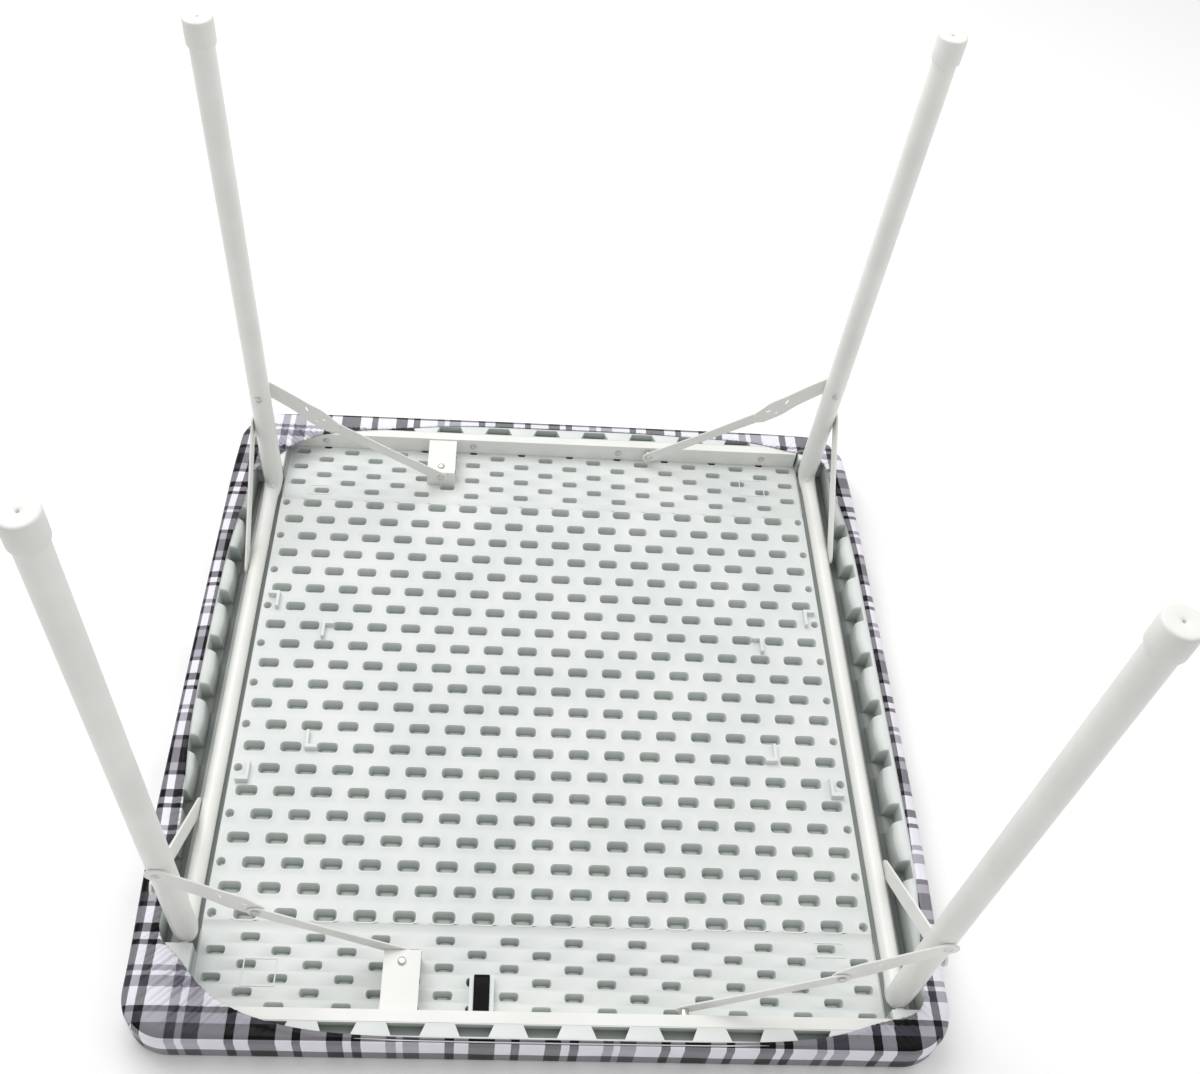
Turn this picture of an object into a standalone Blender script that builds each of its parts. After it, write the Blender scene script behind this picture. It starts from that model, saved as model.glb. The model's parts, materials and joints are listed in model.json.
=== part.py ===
"""A folding card table lying upside down on its top, wearing a fitted tablecloth.

The frame: +Z up, origin on the floor under the middle of the table, +X towards the right leg
frame, +Y towards the far rail. All lengths are in metres. The table stands on its clothed top, so
the legs point up. Left and right mean -X and +X, near and far mean -Y and +Y.
"""

import math

import bmesh
import bpy
from mathutils import Matrix, Vector

# The two overall sizes
TABLE_SIDE = 0.864          # square side over the cloth
OVERALL_HEIGHT = 0.745      # floor to the foot caps

# Clearances
GAP = 0.0003                # between pieces that touch
RUNNING = 0.0003            # radial, between a pin and its hole
SWING = 0.0030              # around a leg frame that turns in its channel

# Cloth
CLOTH_THICKNESS = 0.0010
CLOTH_CORNER_RADIUS = 0.060
CLOTH_EDGE_RADIUS = 0.008
HEM_TURN = 0.0110           # width of cloth turned onto the rim at the middle of a side
HEM_RADIUS_LEFT = 0.160
HEM_RADIUS_RIGHT = 0.092
ELASTIC_RADIUS = 0.0012

# Tabletop, a blow-moulded slab with a recessed underside
TOP_DEPTH = 0.0477          # from the playing surface to the rim's edge
PANEL_THICKNESS = 0.0200    # left under the recess
LEDGE_THICKNESS = 0.0112    # left under the channels that hold the cross tubes
RECESS_HALF_X = 0.369

# Steel rails along the near and far sides of the recess
RAIL_WIDTH = 0.012
RAIL_SHEET = 0.0015
RAIL_INSET = 0.023          # from the cloth's outer face to the rail's outer face
RAIL_END_GAP = 0.003
SCREW_SPACING = 0.211
SCREW_HEIGHT = 0.014        # above the recess floor
SCREW_RADIUS = 0.0020
SCREW_HEAD_RADIUS = 0.0046
SCREW_HEAD_HEIGHT = 0.0022
SCREW_GRIP = 0.008          # length held in the plastic

# Leg frames
LEG_RADIUS = 0.0135
LEG_WALL = 0.0012
LEG_SPLAY = math.radians(0.7)
PIVOT_INSET = 0.052         # from the cloth's outer face to the leg's pivot
LEFT_LEG_Y = 0.317
RIGHT_LEG_Y = 0.371
CROSS_RADIUS = 0.010
CROSS_DROP = 0.0135         # from the pivot down to the cross tube
CROSS_END = 0.006           # length of cross tube beyond a leg's middle
CAP_WALL = 0.0020
CAP_SKIRT = 0.026
CAP_TOP = 0.0040
CAP_PLUG = 0.018
CAP_HOLE_RADIUS = 0.0015
HINGE_PIN_RADIUS = 0.0034
HINGE_COLLAR_RADIUS = 0.0060
HINGE_PIN_GRIP = 0.010
GUSSET_THICKNESS = 0.0025
GUSSET_WIDTH = 0.020
GUSSET_FOOT_DROP = 0.0075   # from the pivot down to the middle of a gusset's foot
GUSSET_HEIGHT = 0.116       # above the pivot, where a gusset meets its leg
GUSSET_REACH = 0.146        # along the cross tube

# Folding braces
BRACE_PIN_HEIGHT = 0.172    # above the pivot, along the leg
BRACE_FOOT_X = 0.149
BRACE_FOOT_RISE = 0.0175    # above the recess floor
BRACE_SHEET = 0.0018
BRACE_WIDTH = 0.017
BRACE_ELBOW_HOLE = 0.0030
BRACE_SLACK = 0.0006        # how much longer the two links are than the open distance they span
RIVET_RADIUS = 0.0030
RIVET_HEAD_RADIUS = 0.0052
RIVET_HEAD_HEIGHT = 0.0020
LEFT_FOLD = math.radians(90.7)
RIGHT_FOLD = math.radians(87.5)

# Brackets that carry the left braces
BRACKET_SHEET = 0.0018
BRACKET_WIDTH = 0.039
BRACKET_RISE = 0.0255       # above the recess floor
BRACKET_SCREW_INSET = 0.011

# Leg strap and its holder
STRAP_X = -0.064
STRAP_WIDTH = 0.0165
STRAP_LENGTH = 0.039
STRAP_THICKNESS = 0.0024
HOLDER_WALL = 0.0045
HOLDER_FLOOR = 0.0060
HOLDER_RISE = 0.0095
HOLDER_LENGTH = 0.043

# Worked out from the sizes above
HALF = TABLE_SIDE / 2
TOP_LOW = CLOTH_THICKNESS + GAP
PANEL_Z = TOP_LOW + PANEL_THICKNESS
LEDGE_Z = TOP_LOW + LEDGE_THICKNESS
RIM_Z = TOP_LOW + TOP_DEPTH
CLOTH_TOP = RIM_Z + GAP + CLOTH_THICKNESS
TOP_HALF = HALF - CLOTH_THICKNESS - GAP
RAIL_OUTER_Y = HALF - RAIL_INSET
RAIL_INNER_Y = RAIL_OUTER_Y - RAIL_WIDTH
RAIL_HALF_X = RECESS_HALF_X - RAIL_END_GAP
RAIL_LOW = PANEL_Z + GAP
PIVOT_X = HALF - PIVOT_INSET
CAP_RADIUS = LEG_RADIUS + GAP + CAP_WALL
PIVOT_Z = PANEL_Z + CAP_RADIUS + 0.0020
GUSSET_SWEEP = math.hypot(GUSSET_FOOT_DROP + GUSSET_WIDTH / 2, LEG_RADIUS + GUSSET_THICKNESS + GAP)
CROSS_SWEEP = math.hypot(CROSS_DROP, LEG_RADIUS - CROSS_RADIUS) + CROSS_RADIUS
CHANNEL_OUTER_X = PIVOT_X + max(GUSSET_SWEEP, CROSS_SWEEP) + SWING
LEG_LENGTH = (OVERALL_HEIGHT - PIVOT_Z) / math.cos(LEG_SPLAY) - CAP_TOP
CROSS_OFFSET = LEG_RADIUS - CROSS_RADIUS
BRACE_FOOT_Z = PANEL_Z + BRACE_FOOT_RISE
HEM_HALF = HALF - HEM_TURN

LEG_Y = {"left": LEFT_LEG_Y, "right": RIGHT_LEG_Y}
SIDE = {"left": -1, "right": 1}
END = {"near": -1, "far": 1}
FOLD = {"left": LEFT_FOLD, "right": RIGHT_FOLD}


def clear_scene():
    for obj in list(bpy.data.objects):
        bpy.data.objects.remove(obj, do_unlink=True)


def new_collection(name):
    collection = bpy.data.collections.new(name)
    bpy.context.scene.collection.children.link(collection)
    return collection


def material(name, colour, roughness, metallic=0.0):
    made = bpy.data.materials.new(name)
    made.use_nodes = True
    shader = made.node_tree.nodes["Principled BSDF"]
    shader.inputs["Base Color"].default_value = (*colour, 1.0)
    shader.inputs["Roughness"].default_value = roughness
    shader.inputs["Metallic"].default_value = metallic
    return made


def place(name, mesh, finish, parent=None):
    """A node of the model, in its parent's space."""
    obj = bpy.data.objects.new(name, mesh)
    PARTS.objects.link(obj)
    obj.parent = parent
    if finish is not None:
        mesh.materials.append(finish)
        mesh.shade_smooth()
        mesh.set_sharp_from_angle(angle=math.radians(35))
    return obj


def cutter(name, mesh, parent=None):
    obj = bpy.data.objects.new(name, mesh)
    CUTTERS.objects.link(obj)
    obj.parent = parent
    obj.hide_render = True
    obj.display_type = "WIRE"
    return obj


def cut(obj, tool, operation="DIFFERENCE"):
    boolean = obj.modifiers.new(tool.name, "BOOLEAN")
    boolean.operation = operation
    boolean.object = tool


def finish_bmesh(bm, name):
    bmesh.ops.recalc_face_normals(bm, faces=bm.faces)
    mesh = bpy.data.meshes.new(name)
    bm.to_mesh(mesh)
    bm.free()
    return mesh


def block(name, low, high, corner_radii=None, edge_radius=0.0):
    """A box from corner low to corner high. corner_radii rounds its four upright edges, in the
    order (-x -y), (+x -y), (+x +y), (-x +y); edge_radius rounds its top and bottom edges."""
    low, high = Vector(low), Vector(high)
    bm = bmesh.new()
    bmesh.ops.create_cube(bm, size=1.0)
    bmesh.ops.scale(bm, vec=high - low, verts=bm.verts)
    bmesh.ops.translate(bm, vec=(low + high) / 2, verts=bm.verts)
    if corner_radii:
        middle = (low + high) / 2
        corners = [(-1, -1), (1, -1), (1, 1), (-1, 1)]
        for (sx, sy), radius in zip(corners, corner_radii):
            upright = [
                e for e in bm.edges
                if all((v.co.x - middle.x) * sx > 0 and (v.co.y - middle.y) * sy > 0 for v in e.verts)
                and abs(e.verts[0].co.z - e.verts[1].co.z) > (high.z - low.z) / 2
            ]
            upright = [max(upright, key=lambda e: sum(v.co.x * sx + v.co.y * sy for v in e.verts))]
            bmesh.ops.bevel(bm, geom=upright, offset=radius, segments=8, profile=0.5, affect="EDGES")
    if edge_radius:
        level = [
            e for e in bm.edges
            if abs(e.verts[0].co.z - e.verts[1].co.z) < 1e-7
        ]
        bmesh.ops.bevel(bm, geom=level, offset=edge_radius, segments=2, profile=0.5, affect="EDGES")
    return finish_bmesh(bm, name)


def rod(name, start, end, radius, sides=12):
    """A plain cylinder between two points."""
    start, end = Vector(start), Vector(end)
    along = end - start
    turn = along.to_track_quat("Z", "Y").to_matrix().to_4x4()
    bm = bmesh.new()
    bmesh.ops.create_cone(
        bm, cap_ends=True, segments=sides, radius1=radius, radius2=radius, depth=along.length,
        matrix=Matrix.Translation((start + end) / 2) @ turn,
    )
    return finish_bmesh(bm, name)


def turned(name, profile, finish, parent=None, steps=20):
    """A solid of revolution about its own Z. The profile is (radius, z) points whose outer side
    runs from top to bottom."""
    mesh = bpy.data.meshes.new(name)
    edges = [(i, i + 1) for i in range(len(profile) - 1)]
    if profile[0][0] > 0:
        edges.append((len(profile) - 1, 0))
    mesh.from_pydata([(r, 0.0, z) for r, z in profile], edges, [])
    obj = place(name, mesh, None, parent)
    mesh.materials.append(finish)
    screw = obj.modifiers.new("turn", "SCREW")
    screw.axis = "Z"
    screw.steps = steps
    screw.render_steps = steps
    screw.use_merge_vertices = True
    screw.merge_threshold = 0.00001
    screw.use_smooth_shade = True
    return obj


def outline_mesh(name, outlines, thickness):
    """A flat plate from closed outlines in its own XY plane, the first one solid and the rest
    holes, centred on z = 0."""
    curve = bpy.data.curves.new(name, "CURVE")
    curve.dimensions = "2D"
    curve.fill_mode = "BOTH"
    curve.extrude = thickness / 2
    for outline in outlines:
        spline = curve.splines.new("POLY")
        spline.points.add(len(outline) - 1)
        for point, (x, y) in zip(spline.points, outline):
            point.co = (x, y, 0.0, 1.0)
        spline.use_cyclic_u = True
    holder = bpy.data.objects.new(name + "_outline", curve)
    bpy.context.scene.collection.objects.link(holder)
    bpy.context.view_layer.update()
    graph = bpy.context.evaluated_depsgraph_get()
    mesh = bpy.data.meshes.new_from_object(holder.evaluated_get(graph))
    bpy.data.objects.remove(holder, do_unlink=True)
    bm = bmesh.new()
    bm.from_mesh(mesh)
    bmesh.ops.remove_doubles(bm, verts=bm.verts, dist=0.00001)
    bpy.data.meshes.remove(mesh)
    return finish_bmesh(bm, name)


def arc(centre, radius, start, end, steps):
    """Points on an arc, angles in degrees."""
    angles = [math.radians(start + (end - start) * i / steps) for i in range(steps + 1)]
    return [(centre[0] + radius * math.cos(a), centre[1] + radius * math.sin(a)) for a in angles]


def circle(centre, radius, sides=12):
    return arc(centre, radius, 0, 360 - 360 / sides, sides - 1)


def swing_empty(name, location, parent=None):
    empty = bpy.data.objects.new(name, None)
    PARTS.objects.link(empty)
    empty.empty_display_size = 0.02
    empty.parent = parent
    empty.location = location
    return empty


# Tablecloth ---------------------------------------------------------------------------------


def hem_radii(outset=0.0):
    """Corner radii of the hem's opening, near-left first, made larger by outset."""
    left, right = HEM_RADIUS_LEFT + outset, HEM_RADIUS_RIGHT + outset
    return [left, right, right, left]


def make_tablecloth():
    """A fitted cover: it runs under the top, up over the rim and turns in to its hem."""
    cover = place(
        "tablecloth",
        block("tablecloth", (-HALF, -HALF, 0), (HALF, HALF, CLOTH_TOP),
              [CLOTH_CORNER_RADIUS] * 4, CLOTH_EDGE_RADIUS),
        CLOTH,
    )
    inner = TOP_HALF + GAP
    room = cutter(
        "cloth_room",
        block("cloth_room", (-inner, -inner, CLOTH_THICKNESS), (inner, inner, RIM_Z + GAP),
              [CLOTH_CORNER_RADIUS - CLOTH_THICKNESS] * 4, CLOTH_EDGE_RADIUS - CLOTH_THICKNESS),
    )
    mouth = cutter(
        "cloth_mouth",
        block("cloth_mouth", (-HEM_HALF, -HEM_HALF, RIM_Z - GAP),
              (HEM_HALF, HEM_HALF, CLOTH_TOP + CLOTH_THICKNESS), hem_radii()),
    )
    cut(cover, room)
    cut(cover, mouth)


def make_hem_elastic():
    """An elastic cord round the hem's opening, just inside the cloth's edge."""
    inset = ELASTIC_RADIUS + GAP
    half = HEM_HALF - inset
    left, right, _, _ = hem_radii(-inset)
    points = arc((-half + left, -half + left), left, 180, 270, 8)
    points += arc((half - right, -half + right), right, 270, 360, 8)
    points += arc((half - right, half - right), right, 0, 90, 8)
    points += arc((-half + left, half - left), left, 90, 180, 8)
    curve = bpy.data.curves.new("hem_elastic", "CURVE")
    curve.dimensions = "3D"
    curve.bevel_depth = ELASTIC_RADIUS
    curve.bevel_resolution = 1
    spline = curve.splines.new("POLY")
    spline.points.add(len(points) - 1)
    for point, (x, y) in zip(spline.points, points):
        point.co = (x, y, RIM_Z + GAP + ELASTIC_RADIUS, 1.0)
    spline.use_cyclic_u = True
    curve.materials.append(ELASTIC)
    obj = bpy.data.objects.new("hem_elastic", curve)
    PARTS.objects.link(obj)


# Tabletop and what is fixed to it --------------------------------------------------------------


def make_tabletop():
    top = place(
        "tabletop",
        block("tabletop", (-TOP_HALF, -TOP_HALF, TOP_LOW), (TOP_HALF, TOP_HALF, RIM_Z),
              [CLOTH_CORNER_RADIUS - CLOTH_THICKNESS - GAP] * 4,
              CLOTH_EDGE_RADIUS - CLOTH_THICKNESS - GAP),
        PLASTIC,
    )
    above = RIM_Z + 0.01
    recess_y = RAIL_OUTER_Y + GAP
    cut(top, cutter("recess", block(
        "recess", (-RECESS_HALF_X, -recess_y, PANEL_Z), (RECESS_HALF_X, recess_y, above))))
    for side, sx in SIDE.items():
        half_y = LEG_Y[side] + LEG_RADIUS + SWING
        xs = sorted((sx * (RECESS_HALF_X - 0.005), sx * CHANNEL_OUTER_X))
        cut(top, cutter(f"{side}_channel", block(
            f"{side}_channel", (xs[0], -half_y, LEDGE_Z), (xs[1], half_y, above))))
        for end, sy in END.items():
            start = (sx * PIVOT_X, sy * (half_y - 0.005), PIVOT_Z)
            stop = (sx * PIVOT_X, sy * (half_y + HINGE_PIN_GRIP + GAP), PIVOT_Z)
            cut(top, cutter(f"{side}_{end}_pin_socket", rod(
                f"{side}_{end}_pin_socket", start, stop, HINGE_PIN_RADIUS + RUNNING)))
    for end, sy in END.items():
        for index in range(4):
            x = screw_x(index)
            hole = rod(f"{end}_screw_hole_{index}", (x, sy * (RAIL_OUTER_Y - 0.004), SCREW_Z),
                       (x, sy * (RAIL_OUTER_Y + SCREW_GRIP + 2 * GAP), SCREW_Z),
                       SCREW_RADIUS + RUNNING, 10)
            cut(top, cutter(f"{end}_screw_hole_{index}", hole))
        x, y = bracket_screw_place(sy)
        hole = rod(f"{end}_bracket_hole", (x, y, PANEL_Z - SCREW_GRIP - 2 * GAP),
                   (x, y, PANEL_Z + 0.005), SCREW_RADIUS + RUNNING, 10)
        cut(top, cutter(f"{end}_bracket_hole", hole))


SCREW_Z = PANEL_Z + SCREW_HEIGHT


def screw_x(index):
    return (index - 1.5) * SCREW_SPACING


def make_rail(end):
    """An inverted steel channel screwed along one side of the recess."""
    sy = END[end]
    height = RIM_Z - RAIL_LOW
    web = height - RAIL_SHEET
    half = RAIL_WIDTH / 2
    profile = [
        (-half, 0), (-half, height), (half, height), (half, 0),
        (half - RAIL_SHEET, 0), (half - RAIL_SHEET, web), (-half + RAIL_SHEET, web),
        (-half + RAIL_SHEET, 0),
    ]
    mesh = outline_mesh(f"{end}_rail", [profile], 2 * RAIL_HALF_X)
    lie = Matrix(((0, 0, 1, 0), (1, 0, 0, 0), (0, 1, 0, 0), (0, 0, 0, 1)))
    mesh.transform(Matrix.Translation((0, sy * (RAIL_INNER_Y + half), RAIL_LOW)) @ lie)
    rail = place(f"{end}_rail", mesh, STEEL)
    inside, outside = sy * (RAIL_INNER_Y - 0.004), sy * (RAIL_OUTER_Y + 0.004)
    for index in range(4):
        x = screw_x(index)
        hole = rod(f"{end}_rail_hole_{index}", (x, inside, SCREW_Z), (x, outside, SCREW_Z),
                   SCREW_RADIUS + RUNNING, 10)
        cut(rail, cutter(f"{end}_rail_hole_{index}", hole))
        make_screw(f"{end}_rail_screw_{index + 1}", (x, sy * RAIL_INNER_Y, SCREW_Z),
                   (0, sy, 0), RAIL_WIDTH + SCREW_GRIP)
    foot = rod(f"{end}_brace_foot_hole", (BRACE_FOOT_X, inside, BRACE_FOOT_Z),
               (BRACE_FOOT_X, sy * (RAIL_INNER_Y + 0.005), BRACE_FOOT_Z), RIVET_RADIUS + RUNNING)
    cut(rail, cutter(f"{end}_brace_foot_hole", foot))


def pin_profile(stations):
    """Turned profile from (z, radius) stations, from the lowest up, closed on the axis."""
    top = [(0.0, stations[-1][0])]
    side = [(radius, z) for z, radius in reversed(stations)]
    bottom = [(0.0, stations[0][0])]
    return top + side + bottom


def aim(obj, point, direction):
    """Puts a turned piece's origin at point with its own +Z along direction."""
    turn = Vector(direction).to_track_quat("Z", "Y").to_matrix().to_4x4()
    obj.matrix_local = Matrix.Translation(point) @ turn


def make_screw(name, seat, direction, length):
    """A pan-head screw: seat is the middle of the surface under its head."""
    head = SCREW_HEAD_HEIGHT
    profile = pin_profile([
        (-GAP - head, SCREW_HEAD_RADIUS * 0.55),
        (-GAP - head * 0.75, SCREW_HEAD_RADIUS * 0.85),
        (-GAP - head * 0.35, SCREW_HEAD_RADIUS),
        (-GAP, SCREW_HEAD_RADIUS),
        (-GAP, SCREW_RADIUS),
        (length - SCREW_RADIUS, SCREW_RADIUS),
        (length, SCREW_RADIUS * 0.3),
    ])
    screw = turned(name, profile, ZINC, steps=12)
    aim(screw, seat, direction)


def link_planes(side):
    """Middle |y| of the upper and of the lower brace link on one side."""
    upper = LEG_Y[side] + LEG_RADIUS + GAP + BRACE_SHEET / 2
    return upper, upper + BRACE_SHEET + GAP


def flange_y():
    """Middle |y| of the left brackets' upright flange."""
    return link_planes("left")[1] + BRACE_SHEET / 2 + GAP + BRACKET_SHEET / 2


def bracket_screw_place(sy):
    return -BRACE_FOOT_X, sy * (flange_y() + BRACKET_SCREW_INSET)


def make_bracket(end):
    """A folded plate that carries one left brace, reaching in from the rail."""
    sy = END[end]
    inner = flange_y() - BRACKET_SHEET / 2
    outer = RAIL_INNER_Y - GAP
    low, high = PANEL_Z + GAP, PANEL_Z + BRACKET_RISE
    profile = [
        (sy * inner, low), (sy * inner, high), (sy * outer, high),
        (sy * outer, high - BRACKET_SHEET), (sy * (inner + BRACKET_SHEET), high - BRACKET_SHEET),
        (sy * (inner + BRACKET_SHEET), low),
    ]
    mesh = outline_mesh(f"{end}_brace_bracket", [profile], BRACKET_WIDTH)
    lie = Matrix(((0, 0, 1, 0), (1, 0, 0, 0), (0, 1, 0, 0), (0, 0, 0, 1)))
    mesh.transform(Matrix.Translation((-BRACE_FOOT_X, 0, 0)) @ lie)
    bracket = place(f"{end}_brace_bracket", mesh, STEEL)
    name = f"{end}_bracket_pin_hole"
    cut(bracket, cutter(name, rod(
        name, (-BRACE_FOOT_X, sy * (inner - 0.004), BRACE_FOOT_Z),
        (-BRACE_FOOT_X, sy * (inner + 0.006), BRACE_FOOT_Z), RIVET_RADIUS + RUNNING)))
    x, y = bracket_screw_place(sy)
    name = f"{end}_bracket_screw_hole"
    cut(bracket, cutter(name, rod(
        name, (x, y, high - 0.006), (x, y, high + 0.004), SCREW_RADIUS + RUNNING, 10)))
    make_screw(f"{end}_bracket_screw", (x, y, high), (0, 0, -1), BRACKET_RISE + SCREW_GRIP)


def make_strap():
    """A leg strap laid in its moulded holder beside the near rail."""
    outer = STRAP_WIDTH / 2 + GAP + HOLDER_WALL
    rail_side = -(RAIL_INNER_Y - GAP)
    groove = STRAP_WIDTH / 2 + GAP
    profile = [
        (-outer, 0), (-outer, HOLDER_RISE), (-groove, HOLDER_RISE), (-groove, HOLDER_FLOOR),
        (groove, HOLDER_FLOOR), (groove, HOLDER_RISE), (outer, HOLDER_RISE), (outer, 0),
    ]
    mesh = outline_mesh("strap_holder", [profile], HOLDER_LENGTH)
    stand = Matrix(((1, 0, 0, 0), (0, 0, 1, 0), (0, 1, 0, 0), (0, 0, 0, 1)))
    middle = rail_side + HOLDER_LENGTH / 2
    mesh.transform(Matrix.Translation((STRAP_X, middle, PANEL_Z + GAP)) @ stand)
    mesh.flip_normals()
    place("strap_holder", mesh, PLASTIC)
    low = PANEL_Z + GAP + HOLDER_FLOOR + GAP
    half = STRAP_WIDTH / 2
    place("leg_strap", block(
        "leg_strap", (STRAP_X - half, middle - STRAP_LENGTH / 2, low),
        (STRAP_X + half, middle + STRAP_LENGTH / 2, low + STRAP_THICKNESS),
        edge_radius=0.0008), WEBBING)


# Leg frames. Each is built upright about its pivot, on an empty that leans by the splay. ---------


def make_leg(side, end, frame):
    """A closed-bottom tube from the pivot up, open at the top for its foot cap."""
    sy = END[end]
    top = LEG_LENGTH
    radius, bore = LEG_RADIUS, LEG_RADIUS - LEG_WALL
    inner = [(0.0, -bore)] + [(bore * math.sin(a), -bore * math.cos(a)) for a in quarter(3)]
    outer = [(radius * math.cos(a), -radius * math.sin(a)) for a in quarter(3)]
    profile = inner + [(bore, top), (radius, top)] + outer + [(0.0, -radius)]
    leg = turned(f"{side}_{end}_leg", profile, STEEL, frame)
    leg.location = (0, sy * LEG_Y[side], 0)
    reach = LEG_RADIUS + 0.005
    for tag, height, hole in (("pivot", 0.0, HINGE_PIN_RADIUS), ("brace", BRACE_PIN_HEIGHT, RIVET_RADIUS)):
        name = f"{side}_{end}_leg_{tag}_hole"
        y = sy * LEG_Y[side]
        cut(leg, cutter(name, rod(name, (0, y - reach, height), (0, y + reach, height),
                                  hole + RUNNING), frame))


def quarter(steps):
    """Angles from just above 0 to 90 degrees, leaving out both ends' repeats."""
    return [math.pi / 2 * i / (steps + 1) for i in range(1, steps + 1)]


def make_foot_cap(side, end, frame):
    """A moulded cap over the leg's end, with a plug inside the tube and a small vent hole."""
    top = LEG_LENGTH + CAP_TOP
    plug = LEG_RADIUS - LEG_WALL - GAP
    skirt = LEG_RADIUS + GAP
    edge = 0.0025
    profile = [
        (CAP_HOLE_RADIUS, LEG_LENGTH - CAP_PLUG), (CAP_HOLE_RADIUS, top),
        (CAP_RADIUS - edge, top), (CAP_RADIUS - edge * 0.3, top - edge * 0.3),
        (CAP_RADIUS, top - edge), (CAP_RADIUS, LEG_LENGTH - CAP_SKIRT),
        (skirt, LEG_LENGTH - CAP_SKIRT), (skirt, LEG_LENGTH + GAP), (plug, LEG_LENGTH + GAP),
        (plug, LEG_LENGTH - CAP_PLUG),
    ]
    cap = turned(f"{side}_{end}_foot_cap", profile, PLASTIC_CAP, frame)
    cap.location = (0, END[end] * LEG_Y[side], 0)


def make_cross_tube(side, frame):
    """The tube between a frame's two legs, flush with their outer faces. It runs on under their
    rounded ends and is coped to them."""
    y = LEG_Y[side]
    x, z = SIDE[side] * CROSS_OFFSET, -CROSS_DROP
    end_y, bore_y = y + CROSS_END, y - LEG_RADIUS / 2
    name = f"{side}_cross_tube"
    tube = place(name, rod(name, (x, -end_y, z), (x, end_y, z), CROSS_RADIUS, 18), STEEL, frame)
    name = f"{side}_cross_bore"
    cut(tube, cutter(name, rod(name, (x, -bore_y, z), (x, bore_y, z),
                               CROSS_RADIUS - LEG_WALL, 14), frame))
    for end, sy in END.items():
        name = f"{side}_{end}_cope"
        cut(tube, cutter(name, leg_outline_mesh(name, sy * y), frame))


def leg_outline_mesh(name, y):
    """The lower end of a leg, a round bar with a domed end, made larger by the gap."""
    radius = LEG_RADIUS + GAP
    bm = bmesh.new()
    bmesh.ops.create_uvsphere(bm, u_segments=20, v_segments=10, radius=radius)
    upper = [v for v in bm.verts if v.co.z > radius * 0.01]
    bmesh.ops.delete(bm, geom=upper, context="VERTS")
    rim = [e for e in bm.edges if e.is_boundary]
    raised = bmesh.ops.extrude_edge_only(bm, edges=rim)["geom"]
    top = [g for g in raised if isinstance(g, bmesh.types.BMVert)]
    bmesh.ops.translate(bm, vec=(0, 0, 2 * LEG_RADIUS), verts=top)
    bmesh.ops.holes_fill(bm, edges=[e for e in bm.edges if e.is_boundary])
    bmesh.ops.translate(bm, vec=(0, y, 0), verts=bm.verts)
    return finish_bmesh(bm, name)


def make_gusset(side, end, frame):
    """A flat bar from a leg down to the cross tube, on the frame's outer face."""
    sx, sy = SIDE[side], END[end]
    foot_y = LEG_Y[side] - GUSSET_REACH
    climb = GUSSET_HEIGHT + GUSSET_FOOT_DROP
    run = math.hypot(GUSSET_REACH, climb)
    half = GUSSET_WIDTH / 2
    outline = arc((0, 0), half, 90, 270, 6) + arc((run, 0), half, 270, 450, 6)
    mesh = outline_mesh(f"{side}_{end}_gusset", [outline], GUSSET_THICKNESS)
    tilt = math.atan2(climb, GUSSET_REACH)
    along = Vector((0, sy * math.cos(tilt), math.sin(tilt)))
    facing = Vector((sx, 0, 0))
    across = facing.cross(along)
    turn = Matrix((along, across, facing)).transposed().to_4x4()
    out = LEG_RADIUS + GAP + GUSSET_THICKNESS / 2
    mesh.transform(Matrix.Translation((sx * out, sy * foot_y, -GUSSET_FOOT_DROP)) @ turn)
    place(f"{side}_{end}_gusset", mesh, STEEL, frame)


def make_hinge_pin(side, end):
    """The pin that a leg turns on, through the leg and into the tabletop."""
    sx, sy = SIDE[side], END[end]
    wall, land = LEG_RADIUS + GAP, LEG_RADIUS + SWING
    radius = HINGE_PIN_RADIUS
    profile = pin_profile([
        (-wall - 0.0012, radius * 0.5), (-wall - 0.0006, radius * 0.9), (-wall, radius),
        (wall, radius), (wall, HINGE_COLLAR_RADIUS), (land - GAP, HINGE_COLLAR_RADIUS),
        (land - GAP, radius), (land + HINGE_PIN_GRIP - 0.001, radius),
        (land + HINGE_PIN_GRIP, radius - 0.001),
    ])
    pin = turned(f"{side}_{end}_hinge_pin", profile, ZINC, steps=12)
    aim(pin, (sx * PIVOT_X, sy * LEG_Y[side], PIVOT_Z), (0, sy, 0))


def make_leg_rivet(side, end, frame):
    """The rivet that joins a leg and the upper link of its brace. Its outer end is flush with the
    link, because the lower link folds across it."""
    sy = END[end]
    profile = rivet_profile(-LEG_RADIUS - GAP, LEG_RADIUS + GAP + BRACE_SHEET, high_head=False)
    rivet = turned(f"{side}_{end}_leg_rivet", profile, ZINC, frame, steps=12)
    aim(rivet, (0, sy * LEG_Y[side], BRACE_PIN_HEIGHT), (0, sy, 0))


def rivet_profile(low, high, low_head=True, high_head=True):
    """A rivet from low to high along its axis, with the heads asked for outside that span."""
    stations = []
    if low_head:
        stations += [(low - RIVET_HEAD_HEIGHT, RIVET_HEAD_RADIUS * 0.5),
                     (low - RIVET_HEAD_HEIGHT * 0.7, RIVET_HEAD_RADIUS * 0.85),
                     (low, RIVET_HEAD_RADIUS)]
    stations += [(low, RIVET_RADIUS), (high, RIVET_RADIUS)]
    if high_head:
        stations += [(high, RIVET_HEAD_RADIUS),
                     (high + RIVET_HEAD_HEIGHT * 0.7, RIVET_HEAD_RADIUS * 0.85),
                     (high + RIVET_HEAD_HEIGHT, RIVET_HEAD_RADIUS * 0.5)]
    return pin_profile(stations)


# Folding braces -------------------------------------------------------------------------------


def leg_pin(side, fold=0.0):
    """(x, z) of the pin joining leg and brace, with the frame folded in by an angle."""
    lean = LEG_SPLAY - fold
    return Vector((SIDE[side] * (PIVOT_X + BRACE_PIN_HEIGHT * math.sin(lean)),
                   PIVOT_Z + BRACE_PIN_HEIGHT * math.cos(lean)))


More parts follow.
